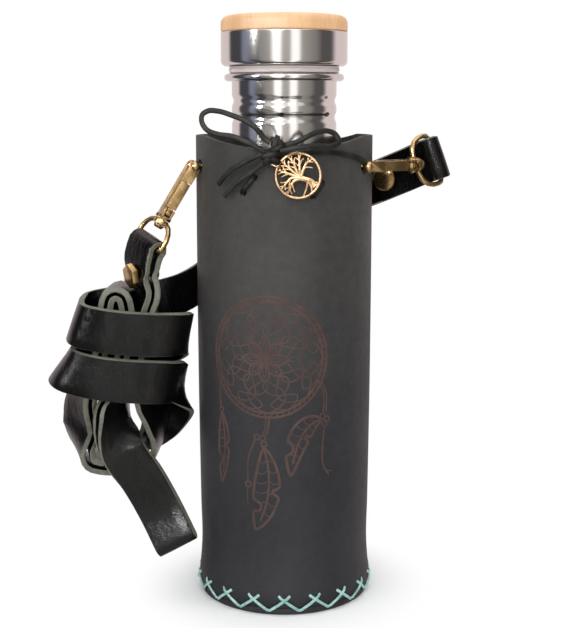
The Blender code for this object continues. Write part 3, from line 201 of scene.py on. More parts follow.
# Finishes. A layer is noise (scale, detail and perhaps a stretch) or cells (scale and kind), and a higher
# scale is finer. mix weighs the layers into the tone that runs between the two colours, from limit to limit.
# rough is a base, the tone's share and the layers' shares, and relief the layers' shares, depth and strength.
# highTones are the two colours higher up, where they differ.
finishes = {
    "caseLeather": {
        "plain": (0.05, 0.048, 0.046), "roughness": 0.6, "specular": 0.18,
        "layers": ((14, 3), (40, 3, (1, 1, 0.25)), (260, 3), (1500, "F1")), "mix": (0.5, 0.28, 0.22),
        "limits": (0.3, 0.7), "tones": ((0.020, 0.020, 0.024), (0.036, 0.036, 0.040)),
        "highTones": ((0.034, 0.033, 0.032), (0.068, 0.065, 0.059)), "rough": (0.60, -0.14, 0, 0, 0, 0.1),
        "relief": ((0.6, 0, 0.8, 0.6), 0.00022, 0.5)},
    "strapLeather": {
        "plain": (0.012, 0.012, 0.013), "roughness": 0.36, "specular": 0.24,
        "layers": ((60, 3), (1900, "SMOOTH_F1"), (420, 4, (1, 1, 0.45))), "mix": (1,), "limits": (0.35, 0.7),
        "tones": ((0.0015, 0.0015, 0.0015), (0.005, 0.0045, 0.0045)), "rough": (0.17, 0.08, 0, 0.08),
        "relief": ((1.6, 0.5, 1.1), 0.0003, 0.6)},
    "strapEdge": {
        "plain": (0.16, 0.155, 0.115), "roughness": 0.8, "layers": ((120, 3), (1500, 4)), "mix": (0.5, 0.6),
        "limits": (0.35, 0.75), "tones": ((0.075, 0.078, 0.056), (0.20, 0.20, 0.15)),
        "relief": ((0, 1), 0.0002, 0.6)},
    "laceLeather": {
        "plain": (0.02, 0.02, 0.015), "roughness": 0.5, "specular": 0.2, "layers": ((150, 3), (1300, 3)),
        "mix": (1,), "limits": (0.35, 0.7), "tones": ((0.006, 0.006, 0.005), (0.021, 0.021, 0.015)),
        "rough": (0.42, 0, 0, 0.25), "relief": ((1, 1), 0.0002, 0.6)},
    "waxedThread": {
        "plain": (0.35, 0.61, 0.55), "roughness": 0.5, "layers": ((300, 3), (1600, 2, (1, 1, 3))),
        "mix": (1,), "limits": (0.3, 0.7), "tones": ((0.24, 0.47, 0.43), (0.46, 0.72, 0.66)),
        "relief": ((0, 1), 0.0003, 0.8)},
    "burntLine": {
        "plain": (0.085, 0.05, 0.043), "roughness": 0.7, "specular": 0.2, "layers": ((120, 3), (900, 3)),
        "mix": (1,), "limits": (0.35, 0.65), "tones": ((0.064, 0.038, 0.032), (0.088, 0.050, 0.042)),
        "relief": ((0, 1), 0.0001, 0.5)},
    "antiqueBrass": {
        "plain": (0.33, 0.20, 0.075), "roughness": 0.34, "metallic": 1.0, "layers": ((190, 4), (1100, 3)),
        "mix": (0.75, 0.25), "limits": (0.4, 0.62), "tones": ((0.44, 0.30, 0.135), (0.24, 0.155, 0.07)),
        "rough": (0.27, 0.12), "relief": ((0.5, 1), 0.00004, 0.3)},
    "antiqueCopper": {
        "plain": (0.55, 0.34, 0.18), "roughness": 0.5, "metallic": 1.0, "layers": ((420, 4), (1700, 3)),
        "mix": (0.7, 0.3), "limits": (0.4, 0.62), "tones": ((0.58, 0.395, 0.23), (0.30, 0.19, 0.105)),
        "relief": ((0, 1), 0.00012, 0.6)},
    "bottleSteel": {
        "plain": (0.63, 0.61, 0.60), "roughness": 0.2, "metallic": 1.0, "layers": ((60, 4, (0.6, 0.6, 40)),),
        "rough": (0.09, 0, 0.1), "relief": ((1,), 0.00002, 0.35)},
    "bambooWood": {
        "plain": (0.80, 0.46, 0.20), "roughness": 0.45,
        "layers": ((9, 1, (14, 0.2, 0.2)), (120, 3, (14, 0.6, 1.6))), "mix": (0.6, 0.4), "limits": (0.3, 0.7),
        "tones": ((0.88, 0.57, 0.31), (0.75, 0.43, 0.205)), "rough": (0.4, 0, 0, 0.15),
        "relief": ((0, 1), 0.00008, 0.4)},
    "sealRubber": {
        "plain": (0.64, 0.56, 0.53), "roughness": 0.55, "layers": ((900, 2),),
        "relief": ((1,), 0.00004, 0.4)},
    "plugPlastic": {
        "plain": (0.04, 0.04, 0.042), "roughness": 0.45, "layers": ((700, 2),),
        "relief": ((1,), 0.00005, 0.5)}}


def weighed(layers, shares):
    first, *others = [layer * share for layer, share in zip(layers, shares) if share]
    return sum(others, first)


def addFinish(name, plain, roughness, layers, relief, mix=(), limits=(), tones=(), highTones=(), rough=(),
              metallic=0.0, specular=0.5):
    made = Surface(name, plain, roughness, metallic, specular)
    layers = [made.cells(*layer) if isinstance(layer[1], str) else made.noise(*layer) for layer in layers]
    tone = weighed(layers, mix).step(*limits) if mix else None
    if highTones:  # they take over between 60 and 190 mm above the ground
        up = made.axis("Z").step(0.06, 0.19)
        tones = [made.blend(up, low, high) for low, high in zip(tones, highTones)]
    if tones:
        made.give("Base Color", made.blend(tone, *tones))
    if rough:
        made.give("Roughness", weighed([tone] + layers, rough[1:]) + rough[0])
    shares, depth, strength = relief
    made.give("Normal", made.wire("ShaderNodeBump", {"Height": weighed(layers, shares), "Distance": depth,
                                                     "Strength": strength}))
    return made.material


skins = {name: addFinish(name, **row) for name, row in finishes.items()}
print("materials made")


# Floor, room and lamps
stage = {"size": 6, "tone": (0.97, 0.97, 0.97), "fadeFrom": 0.03, "fadeTo": 0.075}


def addStage():
    # The floor is lit near the object and fades to plain white for the camera farther off.
    pale = Surface("paleFloor", stage["tone"], 0.9)
    x, y = pale.axis("X"), pale.axis("Y")
    far = (x * x + y * y).math("SQRT").step(stage["fadeFrom"], stage["fadeTo"])
    seen = pale.wire("ShaderNodeLightPath", output="Is Camera Ray")
    white = pale.wire("ShaderNodeEmission", {"Color": (1, 1, 1, 1), "Strength": 1})
    lit = Wire(pale.tree, pale.shader.outputs[0])
    mix = pale.wire("ShaderNodeMixShader", {0: far * seen, 1: lit, 2: white})
    pale.feed(pale.tree.nodes["Material Output"].inputs[0], mix)
    shape = bmesh.new()
    bmesh.ops.create_grid(shape, x_segments=1, y_segments=1, size=stage["size"])
    floor = link("floor", meshOf("floor", shape), [pale.material])
    floor.visible_glossy = False


# What metal mirrors round the room: places from behind the object over its left, the camera and its right
# back to behind, as shares of a turn, and the tone there. The two ends come first. soft lights the rest.
room = {"soft": (0.34, 0.34, 0.35), "bands": (
    (0.0, (0.80, 0.70, 0.69)), (1.0, (0.85, 0.74, 0.73)),
    (0.165, (0.97, 0.84, 0.83)), (0.188, (0.08, 0.08, 0.09)), (0.262, (0.07, 0.07, 0.08)),
    (0.282, (0.27, 0.30, 0.42)), (0.308, (0.24, 0.26, 0.36)), (0.326, (0.06, 0.06, 0.065)),
    (0.362, (0.07, 0.07, 0.07)), (0.385, (0.34, 0.32, 0.30)), (0.432, (0.46, 0.43, 0.40)),
    (0.446, (1.7, 1.66, 1.62)), (0.478, (1.7, 1.66, 1.62)), (0.492, (0.55, 0.52, 0.49)),
    (0.528, (0.55, 0.52, 0.49)), (0.54, (1.7, 1.66, 1.62)), (0.572, (1.7, 1.66, 1.62)),
    (0.588, (0.50, 0.47, 0.43)), (0.67, (0.30, 0.28, 0.26)), (0.70, (0.12, 0.115, 0.115)),
    (0.765, (0.13, 0.12, 0.12)), (0.80, (0.98, 0.85, 0.84)))}


def addRoom():
    # White for the camera, the banded room for reflections, soft grey for everything else.
    world = bpy.data.worlds.new("world")
    bpy.context.scene.world = world
    world.use_nodes = True
    sky = NodeMaker(world.node_tree)
    sky.tree.nodes.clear()
    way = sky.wire("ShaderNodeTexCoord", output="Generated")
    x, y = (sky.wire("ShaderNodeSeparateXYZ", {0: way}, axis) for axis in "XY")
    turn = x.math("ARCTAN2", y * -1)
    bands = sky.wire("ShaderNodeValToRGB", {0: turn / math.tau + 0.5}, stops=room["bands"])
    shade = sky.wire("ShaderNodeBackground", {0: (*room["soft"], 1)})
    for ray, tone in (("Is Glossy Ray", bands), ("Is Camera Ray", (1, 1, 1, 1))):
        seen = sky.wire("ShaderNodeLightPath", output=ray)
        shown = sky.wire("ShaderNodeBackground", {0: tone})
        shade = sky.wire("ShaderNodeMixShader", {0: seen, 1: shade, 2: shown})
    sky.node("ShaderNodeOutputWorld", {0: shade})


strips = {"turn": 13.6, "away": 1.3, "height": 0.55, "faces": (0, 0, 0.15), "size": (0.17, 1.3), "watts": 2.4}
# Name: place, the point that it faces, width and height, watts, seen in metal, lights the object
lamps = {"leftBox": ((-1.0, -0.7, 0.8), (-0.03, 0, 0.12), (0.7, 0.9), 3.0, False, True),
         "rightBox": ((1.1, -0.5, 0.7), (0.03, 0, 0.12), (0.5, 0.9), 2.2, False, True),
         "glintFront": ((-0.3, -1.2, 0.66), (-0.06, 0, 0.1), (0.42, 0.2), 21, True, False),
         "glintLeft": ((-1.1, -0.75, 0.62), (-0.06, 0, 0.1), (0.12, 0.5), 15, True, False),
         "topBox": ((0, 0.1, 1.3), (0, 0, 0.1), (1.4, 1.4), 7, True, True),
         "floorWash": ((0, -0.5, 1.6), (0, 0.2, 0), (2.4, 2.4), 10, True, True)}


def addLamp(name, place, faces, size, watts, mirrored=False, lights=True):
    lamp = bpy.data.lights.new(name, "AREA")
    lamp.shape = "RECTANGLE"
    lamp.size, lamp.size_y = size
    lamp.energy = watts
    made = bpy.data.objects.new(name, lamp)
    made.visible_glossy = mirrored
    made.visible_diffuse = lights
    made.location = place
    made.rotation_euler = (Vector(faces) - Vector(place)).to_track_quat("-Z", "Y").to_euler()
    bpy.context.scene.collection.objects.link(made)


addStage()
addRoom()
for name, side in (("stripLeft", -1), ("stripRight", 1)):
    turn, away = math.radians(strips["turn"]), strips["away"]
    addLamp(name, (side * away * math.sin(turn), -away * math.cos(turn), strips["height"]), strips["faces"],
            strips["size"], strips["watts"])
for name, row in lamps.items():
    addLamp(name, *row)
print("stage and light set")


# Shape builders
def finish(name, shape, materials, body, replaces=(), smooth=50):
    bmesh.ops.recalc_face_normals(shape, faces=shape.faces[:])
    if shape.calc_volume(signed=True) < 0:
        bmesh.ops.reverse_faces(shape, faces=shape.faces[:])
    mesh = meshOf(name, shape)
    mesh.shade_smooth()
    mesh.set_sharp_from_angle(angle=math.radians(smooth))
    made = link(name, mesh, [skins[skin] for skin in materials])
    if body:  # a piece that spans two bodies is given none of its own
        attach(made, body)
    if replaces:
        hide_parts(*replaces)
    return made


def addRings(shape, rings, closed=False, sides=None):
    rows = [[shape.verts.new(point) for point in ring] for ring in rings]
    count = len(rows[0])
    pairs = list(zip(rows, rows[1:]))
    if closed:
        pairs.append((rows[-1], rows[0]))
    for low, high in pairs:
        for index in range(count):
            after = (index + 1) % count
            face = shape.faces.new((low[index], low[after], high[after], high[index]))
            if sides and index in sides:
                face.material_index = 1
    if not closed:
        shape.faces.new(rows[0])
        shape.faces.new(rows[-1])


def turnedShape(profile, segments):
    shape = bmesh.new()
    points = [shape.verts.new((radius, 0, height)) for radius, height in profile]
    edges = [shape.edges.new(pair) for pair in zip(points, points[1:])]
    if profile[0][0] > 0:
        edges.append(shape.edges.new((points[-1], points[0])))
    bmesh.ops.spin(shape, geom=points + edges, axis=(0, 0, 1), cent=(0, 0, 0), angle=math.tau,
                   steps=segments, use_merge=True)
    bmesh.ops.remove_doubles(shape, verts=shape.verts[:], dist=0.000002)
    return shape


def arc(center, radius, start, end, steps):
    turns = [math.radians(start + (end - start) * step / steps) for step in range(steps + 1)]
    return [(center[0] + radius * math.cos(turn), center[1] + radius * math.sin(turn)) for turn in turns]


def hermite(start, end, startSlope, endSlope, t):
    square, cube = t * t, t * t * t
    return (start * (2 * cube - 3 * square + 1) + startSlope * (cube - 2 * square + t)
            + end * (3 * square - 2 * cube) + endSlope * (cube - square))


def slopesOf(points):
    spans = [max(1e-9, (after - before).length) for before, after in zip(points, points[1:])]
    slopes = [(points[1] - points[0]) / spans[0]]
    for index in range(1, len(points) - 1):
        before = (points[index] - points[index - 1]) / spans[index - 1]
        after = (points[index + 1] - points[index]) / spans[index]
        total = spans[index - 1] + spans[index]
        slopes.append(before * (spans[index] / total) + after * (spans[index - 1] / total))
    slopes.append((points[-1] - points[-2]) / spans[-1])
    return spans, slopes


def smoothRun(route, step):
    points = [Vector(point) for point in route]
    spans, slopes = slopesOf(points)
    run = []
    for index, span in enumerate(spans):
        pieces = max(1, round(span / step))
        for piece in range(pieces):
            run.append(hermite(points[index], points[index + 1], slopes[index] * span,
                               slopes[index + 1] * span, piece / pieces))
    run.append(points[-1])
    return run


def addTube(shape, points, width, thick, normal, sides, closed=False, taper=0.0, squared=1.0):
    # Oval sections along the path, or square ones as squared falls. Their width lies across the normal.
    rings = []
    count = len(points)
    for index, point in enumerate(points):
        if closed:
            along = points[(index + 1) % count] - points[index - 1]
        else:
            along = points[min(index + 1, count - 1)] - points[max(index - 1, 0)]
        along.normalize()
        out = normal(point)
        out = (out - along * out.dot(along)).normalized()
        across = along.cross(out)
        share = 1 - taper * index / max(1, count - 1)
        ring = []
        for side in range(sides):
            turn = math.tau * (side + 0.5) / sides
            c, s = math.cos(turn), math.sin(turn)
            c = math.copysign(abs(c) ** squared, c)
            s = math.copysign(abs(s) ** squared, s)
            ring.append(point + across * (width / 2 * share * c) + out * (thick / 2 * share * s))
        rings.append(ring)
    addRings(shape, rings, closed)


def around(angle, radius, height):
    return Vector((radius * math.sin(angle), -radius * math.cos(angle), height))


def outward(point):
    return Vector((point.x, point.y, 0)).normalized()


def loopPoints(center, first, second, steps):
    # A closed oval about the center. The first way is reached a quarter turn after the second.
    turns = [math.tau * step / steps for step in range(steps)]
    return [center + first * math.sin(turn) + second * math.cos(turn) for turn in turns]


# Leather tube and base. The girth is rows of the share of the height and the share of the radius there. The
# holes are for the lace, two pairs, and then for the hooks: degrees from the front, height, radius.
casePlan = {
    "radius": 0.0406, "wall": 0.0022, "height": 0.217, "edge": 0.0005, "base": 0.0032, "baseEdge": 0.0014,
    "scoopDepth": 0.0064, "scoopAngle": 61.9, "scoopCurve": 1.3, "columns": 180, "rows": 46, "innerRows": 13,
    "girth": ((0.016, 1.0), (0.024, 1.010), (0.036, 1.014), (0.062, 0.999), (0.105, 0.982), (0.2, 0.988),
              (0.42, 0.999), (0.7, 1.002), (0.93, 1.0), (1.0, 1.0)),
    "holes": ((-18.5, 0.1999, 0.0017), (-26, 0.1931, 0.0017), (23.5, 0.197, 0.0017), (18, 0.1918, 0.0017),
              (-69, 0.2032, 0.0032), (-83, 0.2032, 0.0032), (62, 0.2032, 0.0032), (80, 0.2032, 0.0032))}
profileRun = smoothRun([(height * casePlan["height"], radius * casePlan["radius"], 0)
                        for height, radius in casePlan["girth"]], 0.002)


def caseSurface(height):
    for before, after in zip(profileRun, profileRun[1:]):
        if height <= after.x:
            part = max(0, (height - before.x) / (after.x - before.x))
            return before.y + (after.y - before.y) * part
    return casePlan["radius"]


def rimHeight(angle):
    turn = abs(math.remainder(angle, math.tau))
    turn = min(turn, math.pi - turn)
    part = min(1, turn / math.radians(casePlan["scoopAngle"]))
    return casePlan["height"] - casePlan["scoopDepth"] * (1 - part ** casePlan["scoopCurve"])


def cutHoles(tube):
    cutters = bmesh.new()
    for angle, height, radius in casePlan["holes"]:
        out = around(math.radians(angle), 1, 0)
        turn = out.to_track_quat("Z", "Y").to_matrix().to_4x4()
        place = Matrix.Translation(out * casePlan["radius"] + Vector((0, 0, height))) @ turn
        bmesh.ops.create_cone(cutters, cap_ends=True, segments=28, radius1=radius, radius2=radius,
                              depth=0.012, matrix=place)
    cutter = link("caseHoles", meshOf("caseHoles", cutters))
    cut = tube.modifiers.new("holes", "BOOLEAN")
    cut.solver = "EXACT"
    cut.object = cutter
    bpy.context.view_layer.update()
    tube.data = bpy.data.meshes.new_from_object(tube.evaluated_get(bpy.context.evaluated_depsgraph_get()))
    tube.modifiers.clear()
    bpy.data.objects.remove(cutter)


def addCase():
    radius, wall, edge, base = (casePlan[key] for key in ("radius", "wall", "edge", "base"))
    turns = [math.tau * index / casePlan["columns"] for index in range(casePlan["columns"])]
    columns = [(turn, rimHeight(turn)) for turn in turns]
    low = base + 0.0002
    rings = [[around(turn, away, height) for turn in turns] for away, height in
             ((caseSurface(low) - wall, low + edge), (caseSurface(low) - edge, low),
              (caseSurface(low + edge), low + edge))]
    for row in range(1, casePlan["rows"]):
        part = row / casePlan["rows"]
        rings.append([around(turn, caseSurface(low + (rim - low) * part), low + (rim - edge - low) * part)
                      for turn, rim in columns])
    leans = [math.pi / 2 * step / 3 for step in range(4)]  # over the rounded rim
    lip = [(radius - edge * (1 - math.cos(lean)), edge * (1 - math.sin(lean))) for lean in leans]
    lip += [(radius - wall + edge * (1 - math.sin(lean)), edge * (1 - math.cos(lean))) for lean in leans]
    rings += [[around(turn, away, rim - drop) for turn, rim in columns] for away, drop in lip]
    for row in range(casePlan["innerRows"] - 1, 0, -1):
        part = row / casePlan["innerRows"]
        rings.append([around(turn, caseSurface(low + (rim - low) * part) - wall, low + (rim - low) * part)
                      for turn, rim in columns])
    shape = bmesh.new()
    addRings(shape, rings, closed=True)
    cutHoles(finish("caseTube", shape, ["caseLeather"], "case", ["case_body"]))
    heel = casePlan["baseEdge"]
    shape = turnedShape([(0, base), (radius - 0.0004, base)] + arc((radius - heel, heel), heel, 0, -90, 6)
                        + [(radius * 0.6, 0), (0, 0)], 120)
    finish("caseBase", shape, ["caseLeather"], "case", ["base_disc"])


# Thread: over and under are how far a stitch rises, spread how far a cross's ends lie apart
threadPlan = {"width": 0.00135, "thick": 0.00095, "seat": 0.00035, "sunk": 0.0007, "over": 0.00045,
              "under": 0.0001, "baseCrosses": 18, "baseLow": 0.002, "baseHigh": 0.0094, "baseSpread": 0.0026,
              "seamCrosses": 12, "seamLow": 0.015, "seamLength": 0.188, "seamSpread": 0.005}


def addThread(shape, start, end, lift):
    points = []
    for step in range(9):
        part = step / 8
        angle, height = (first + (last - first) * part for first, last in zip(start, end))
        rise = lift * math.sin(math.pi * part) - threadPlan["sunk"] * (part in (0, 1))
        points.append(around(angle, caseSurface(height) + threadPlan["seat"] + rise, height))
    addTube(shape, points, threadPlan["width"], threadPlan["thick"], outward, 8)


def addStitching():
    over, under, radius = threadPlan["over"], threadPlan["under"], casePlan["radius"]
    crosses, low, high = threadPlan["baseCrosses"], threadPlan["baseLow"], threadPlan["baseHigh"]
    half, spread = math.pi / crosses, threadPlan["baseSpread"] / radius
    shape = bmesh.new()
    for index in range(crosses):
        middle = math.tau * index / crosses
        addThread(shape, (middle - half, low), (middle + spread, high), over)
        addThread(shape, (middle - spread, high), (middle + half, low), under)
    finish("baseThread", shape, ["waxedThread"], "case", ["base_stitching"])

    crosses, length = threadPlan["seamCrosses"], threadPlan["seamLength"]
    spread = threadPlan["seamSpread"] / radius
    shape = bmesh.new()
    for index in range(crosses):
        low = threadPlan["seamLow"] + length * index / crosses
        high = low + length / crosses
        addThread(shape, (math.pi - spread, low), (math.pi + spread, high), over)
        addThread(shape, (math.pi + spread, low), (math.pi - spread, high), under)
    finish("seamThread", shape, ["waxedThread"], "case", ["seam_stitching"])


# Traditional hoop-and-feather drawing, laid out on the unrolled leather in millimetres: across from the front
# and up from the ground. The hangings are in three groups, and each group's points count from its start:
# cords are points and a line's weight, beads a middle and a size, feathers top, bend, tip and half width.
drawingPlan = {
    "across": -7.6, "up": 120.4, "radius": 26.2, "hoopHalf": 1, "hoopWeights": (0.8, 0.75), "bindings": 60,
    "bindingLean": 0.07, "bindingWeight": 0.35, "petals": 8, "webShift": (-1.6, -1.2), "beadWeight": 0.6,
    "ridge": 0.00009, "hangings": (
        {"start": (-7.6, 94.2),
         "cords": (([(0.7, 0), (0.5, -5), (-0.6, -9)], 0.9), ([(-0.7, 0), (-0.9, -5), (-2, -9)], 0.5),
                   ([(-5.6, -11.4), (-9, -20), (-9.4, -31)], 0.55),
                   ([(-9.4, -34), (-9.8, -38), (-9.4, -42)], 0.4)),
         "beads": ((-2.2, -10.6, 1.25), (-4.8, -10.2, 1.25), (-1.6, -13.4, 1.25), (-9.2, -32.6, 1.3)),
         "feather": ((-1.6, -15), (4.5, -36), (-5.8, -54), 6.0)},
        {"start": (16.6, 0),
         "cords": (([(-0.6, 109.5), (1.6, 104), (1.5, 95)], 0.5),
                   ([(0.7, 109.5), (2.9, 104), (2.8, 95)], 0.5),
                   ([(2.2, 88.4), (1.2, 78), (1.8, 70), (4.6, 65.5)], 0.55),
                   ([(1.8, 70), (3.4, 67.6), (6, 67)], 0.4)),
         "beads": ((1.2, 93.2, 1.2), (3.4, 91.8, 1.2), (2.2, 89.6, 1.2)),
         "feather": ((0.6, 91.5), (-10.5, 91), (-13.6, 66), 4.6)},
        {"start": (-32.2, 0),
         "cords": (([(0.5, 112), (-0.2, 104), (0.4, 96)], 0.7),),
         "beads": ((0.8, 94.4, 1.2),),
         "feather": ((1, 93), (4.2, 80), (0.4, 60), 3.2)})}


def circle(across, up, size, steps):
    turns = [math.tau * step / steps for step in range(steps + 1)]
    return [(across + size * math.sin(turn), up + size * math.cos(turn)) for turn in turns]


def hoopLines():
    across, up, half = drawingPlan["across"], drawingPlan["up"], drawingPlan["hoopHalf"]
    outer, inner = drawingPlan["radius"] + half, drawingPlan["radius"] - half
    lines = [(circle(across, up, size, 72), weight)
             for size, weight in zip((outer, inner), drawingPlan["hoopWeights"])]
    for index in range(drawingPlan["bindings"]):
        turn = math.tau * index / drawingPlan["bindings"]
        lean = turn + drawingPlan["bindingLean"]
        lines.append(([(across + inner * math.sin(turn), up + inner * math.cos(turn)),
                       (across + outer * math.sin(lean), up + outer * math.cos(lean))],
                      drawingPlan["bindingWeight"]))
    return lines


def webLines():
    web = drawingPlan["radius"] - drawingPlan["hoopHalf"]
    lines = []

    def onWeb(turn, away):
        # The web's middle lies a little off the hoop's.
        aside, down = (shift * (1 - away / web) for shift in drawingPlan["webShift"])
        return (drawingPlan["across"] + aside + away * math.sin(turn),
                drawingPlan["up"] + down + away * math.cos(turn))

    def petal(middle, low, reach, widen, weight, curve=1.0):
        for hand in (-1, 1):
            lines.append(([onWeb(middle + hand * widen * math.sin(math.pi * step / 14) ** curve,
                                 low + (reach - low) * step / 14) for step in range(15)], weight))

    for index in range(drawingPlan["petals"]):
        middle = math.tau * index / drawingPlan["petals"]
        between = middle + math.pi / drawingPlan["petals"]
        petal(middle, 0.3, web * 0.42, 0.36, 0.62)
        petal(middle, 1.5, web * 0.33, 0.16, 0.4)
        petal(between, web * 0.27, web * 0.72, 0.48, 0.5)
        petal(middle, web * 0.36, web, 0.5, 0.5, 0.8)
        petal(between, web * 0.7, web, 0.3, 0.45)
    return lines


def featherLines(top, bend, tip, wide):
    shaft = []
    for step in range(17):
        t = step / 16
        shaft.append([a * (1 - t) ** 2 + 2 * b * t * (1 - t) + c * t * t for a, b, c in zip(top, bend, tip)])
    lines = [(shaft[:15], 0.7)]
    for hand, fullness, notches in ((-1, 1.15, (11, 12)), (1, 0.85, (8,))):
        edge = []
        for step, (x, z) in enumerate(shaft):
            ahead, behind = shaft[min(step + 1, 16)], shaft[max(step - 1, 0)]
            run = Vector((ahead[0] - behind[0], ahead[1] - behind[1])).normalized()
            bulge = hand * wide * fullness * math.sin(math.pi * step / 16) ** 0.7
            bulge *= 0.35 if step in notches else 1
            side, up = x - run.y * bulge, z + run.x * bulge
            edge.append((side, up))
            if 2 <= step <= 13 and step % 2 == 0:  # a barb
                lines.append(([(x, z), ((x + side) / 2 + run.x * 1.6, (z + up) / 2 + run.y * 1.6),
                               (side + run.x, up + run.y)], 0.32))
        lines.append((edge, 0.95))
    return lines


def hangingLines(hanging):
    left, low = hanging["start"]

    def moved(points):
        return [(x + left, z + low) for x, z in points]

    lines = [(moved(points), weight) for points, weight in hanging["cords"]]
    lines += [(circle(left + x, low + z, size, 14), drawingPlan["beadWeight"])
              for x, z, size in hanging["beads"]]
    return lines + featherLines(*moved(hanging["feather"][:3]), hanging["feather"][3])


def addDrawing():
    lines = hoopLines() + webLines()
    for hanging in drawingPlan["hangings"]:
        lines += hangingLines(hanging)
    shape = bmesh.new()
    for points, weight in lines:
        flat = [Vector((x, z, 0)) for x, z in points]
        flat = smoothRun(flat, 0.9) if len(flat) > 2 else flat
        spots = [around(point.x / 1000 / casePlan["radius"], caseSurface(point.y / 1000), point.y / 1000)
                 for point in flat]
        rows = []
        for index, spot in enumerate(spots):  # a low ridge with its foot just over the leather
            along = spots[min(index + 1, len(spots) - 1)] - spots[max(index - 1, 0)]
            out = outward(spot)
            across, foot = along.cross(out).normalized() * (weight / 1500), spot + out * 0.00002
            rows.append([shape.verts.new(point) for point in
                         (foot - across, spot + out * drawingPlan["ridge"], foot + across)])
        for first, second in zip(rows, rows[1:]):
            shape.faces.new((first[0], first[1], second[1], second[0]))
            shape.faces.new((first[1], first[2], second[2], second[1]))
    for face in shape.faces:
        face.normal_update()
        if face.normal.dot(outward(face.calc_center_median())) < 0:
            face.normal_flip()
    mesh = meshOf("burntDrawing", shape)
    mesh.shade_smooth()
    made = link("burntDrawing", mesh, [skins["burntLine"]])
    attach(made, "case")


addCase()
addStitching()
addDrawing()
print("case made")


# Bottle, seal and cap: radii and heights in metres. The two grooves round the neck are its rolled thread.
bottlePlan = {"body": 0.03475, "neck": 0.02395, "bead": 0.02735, "wall": 0.0008, "floor": 0.0035,
              "heel": 0.0032, "shoulder": 0.172, "shoulderRise": 0.037, "grooves": (0.2248, 0.2323),
              "grooveDepth": 0.0008, "grooveStep": 0.0005, "beadRound": 0.00165, "top": 0.2445}
sealPlan = {"inner": 0.0212, "outer": 0.0249, "low": 0.2448, "thick": 0.0027, "bulge": 0.0005}
capPlan = {"radius": 0.0288, "low": 0.2478, "rim": 0.2629, "heel": 0.0022, "lip": 0.0009, "recess": 0.0033,
           "lidGap": 0.0002, "lidTop": 0.27, "lidCrown": 0.0034}


def addBottle():
    body, neck, wall = (bottlePlan[key] for key in ("body", "neck", "wall"))
    floor, heel, top = (bottlePlan[key] for key in ("floor", "heel", "top"))

    def shoulder(inset, low):
        waves = [(1 + math.cos(math.pi * step / 16)) / 2 for step in range(17)]
        return [(neck - inset + (body - neck) * wave, low + bottlePlan["shoulderRise"] * step / 16)
                for step, wave in enumerate(waves)]

    def groove(height, inset, depth, steps):
        return [(neck - inset - depth * (1 + math.cos(math.pi * step / 6)) / 2,
                 height + bottlePlan["grooveStep"] * step) for step in steps]

    low, high = bottlePlan["grooves"]
    depth, middle = bottlePlan["grooveDepth"], top - 0.00175
    outer = [(0, floor), (body - 0.004, floor)] + arc((body - heel, floor + heel), heel, -90, 0, 6)[1:]
    outer += shoulder(0, bottlePlan["shoulder"])
    for height in (low, high):
        outer += groove(height, 0, depth, range(-6, 7))
    outer.append((neck, middle - 0.00175))
    outer += arc((bottlePlan["bead"] - bottlePlan["beadRound"], middle), bottlePlan["beadRound"], -80, 80, 10)
    inner = arc((neck - wall + 0.0009, top - 0.0009), 0.0009, 90, 180, 5)
    for height in (high, low):
        inner += groove(height, wall, depth - 0.0001, range(5, -6, -2))
    inner += reversed(shoulder(wall, bottlePlan["shoulder"] - wall))
    inner += [(body - wall, floor + 0.0034), (body - 0.004, floor + wall), (0, floor + wall)]
    shape = turnedShape(outer + inner, 128)
    finish("steelBottle", shape, ["bottleSteel"], "bottle", ["bottle_shell"])


def addCap():
    inner, outer, low, thick = (sealPlan[key] for key in ("inner", "outer", "low", "thick"))
    shape = turnedShape([(inner, low), (outer, low)]
                        + arc((outer - 0.0001, low + thick / 2), sealPlan["bulge"], -70, 70, 6)
                        + [(outer, low + thick), (inner, low + thick)], 96)
    finish("sealRing", shape, ["sealRubber"], "cap_carrier", ["cap_seal"])

    wide, low, rim, heel, lip = (capPlan[key] for key in ("radius", "low", "rim", "heel", "lip"))
    inside, sunk = rim - capPlan["recess"] - 0.0009, rim - capPlan["recess"]
    under = [(0, inside), (wide - 0.0036, inside), (wide - 0.0036, low + 0.0002), (wide - 0.0026, low)]
    over = [(wide, rim - 0.0007), (wide, rim - 0.0003), (wide - 0.0003, rim), (wide - lip, rim),
            (wide - lip, sunk), (0, sunk)]
    shape = turnedShape(under + arc((wide - heel, low + heel), heel, -90, 0, 8)[1:] + over, 128)
    finish("capSteel", shape, ["bottleSteel"], "cap", ["cap_shell"])

    low, high, crown = rim + capPlan["lidGap"], capPlan["lidTop"], capPlan["lidCrown"]
    under = [(0, low - 0.003), (wide - 0.0012, low - 0.003), (wide - 0.0012, low), (wide - 0.0003, low),
             (wide, low + 0.0003), (wide, low + 0.0007)]
    over = arc((wide - crown, high - crown), crown, 0, 80, 9) + [(wide * 0.6, high - 0.00003), (0, high)]
    shape = turnedShape(under + over, 128)
    finish("capBamboo", shape, ["bambooWood"], "cap", ["bamboo_disc"])
    plug = frame["nodes"]["cap_plug"].data
    plug.materials.clear()
    plug.materials.append(skins["plugPlastic"])


addBottle()
addCap()
print("bottle made")


# Metal parts with their edges rounded: the rounding of each kind in metres. The paired ones come on both
# sides. The screw's corners take three steps, from a flatter angle on.
metalPlan = {"paired": {"hook": 0.00035, "gate": 0.00035, "gate_pin": 0.0001, "swivel_post": 0.00025,
                        "swivel_ring": 0.0003},
             "screw": 0.0005, "single": {"screw_post": 0.0003, "dome_rivet": 0.0002, "rivet_cap": 0.0003}}


def pieceName(node):
    first, *others = node.split("_")
    return first + "".join(word.capitalize() for word in others)


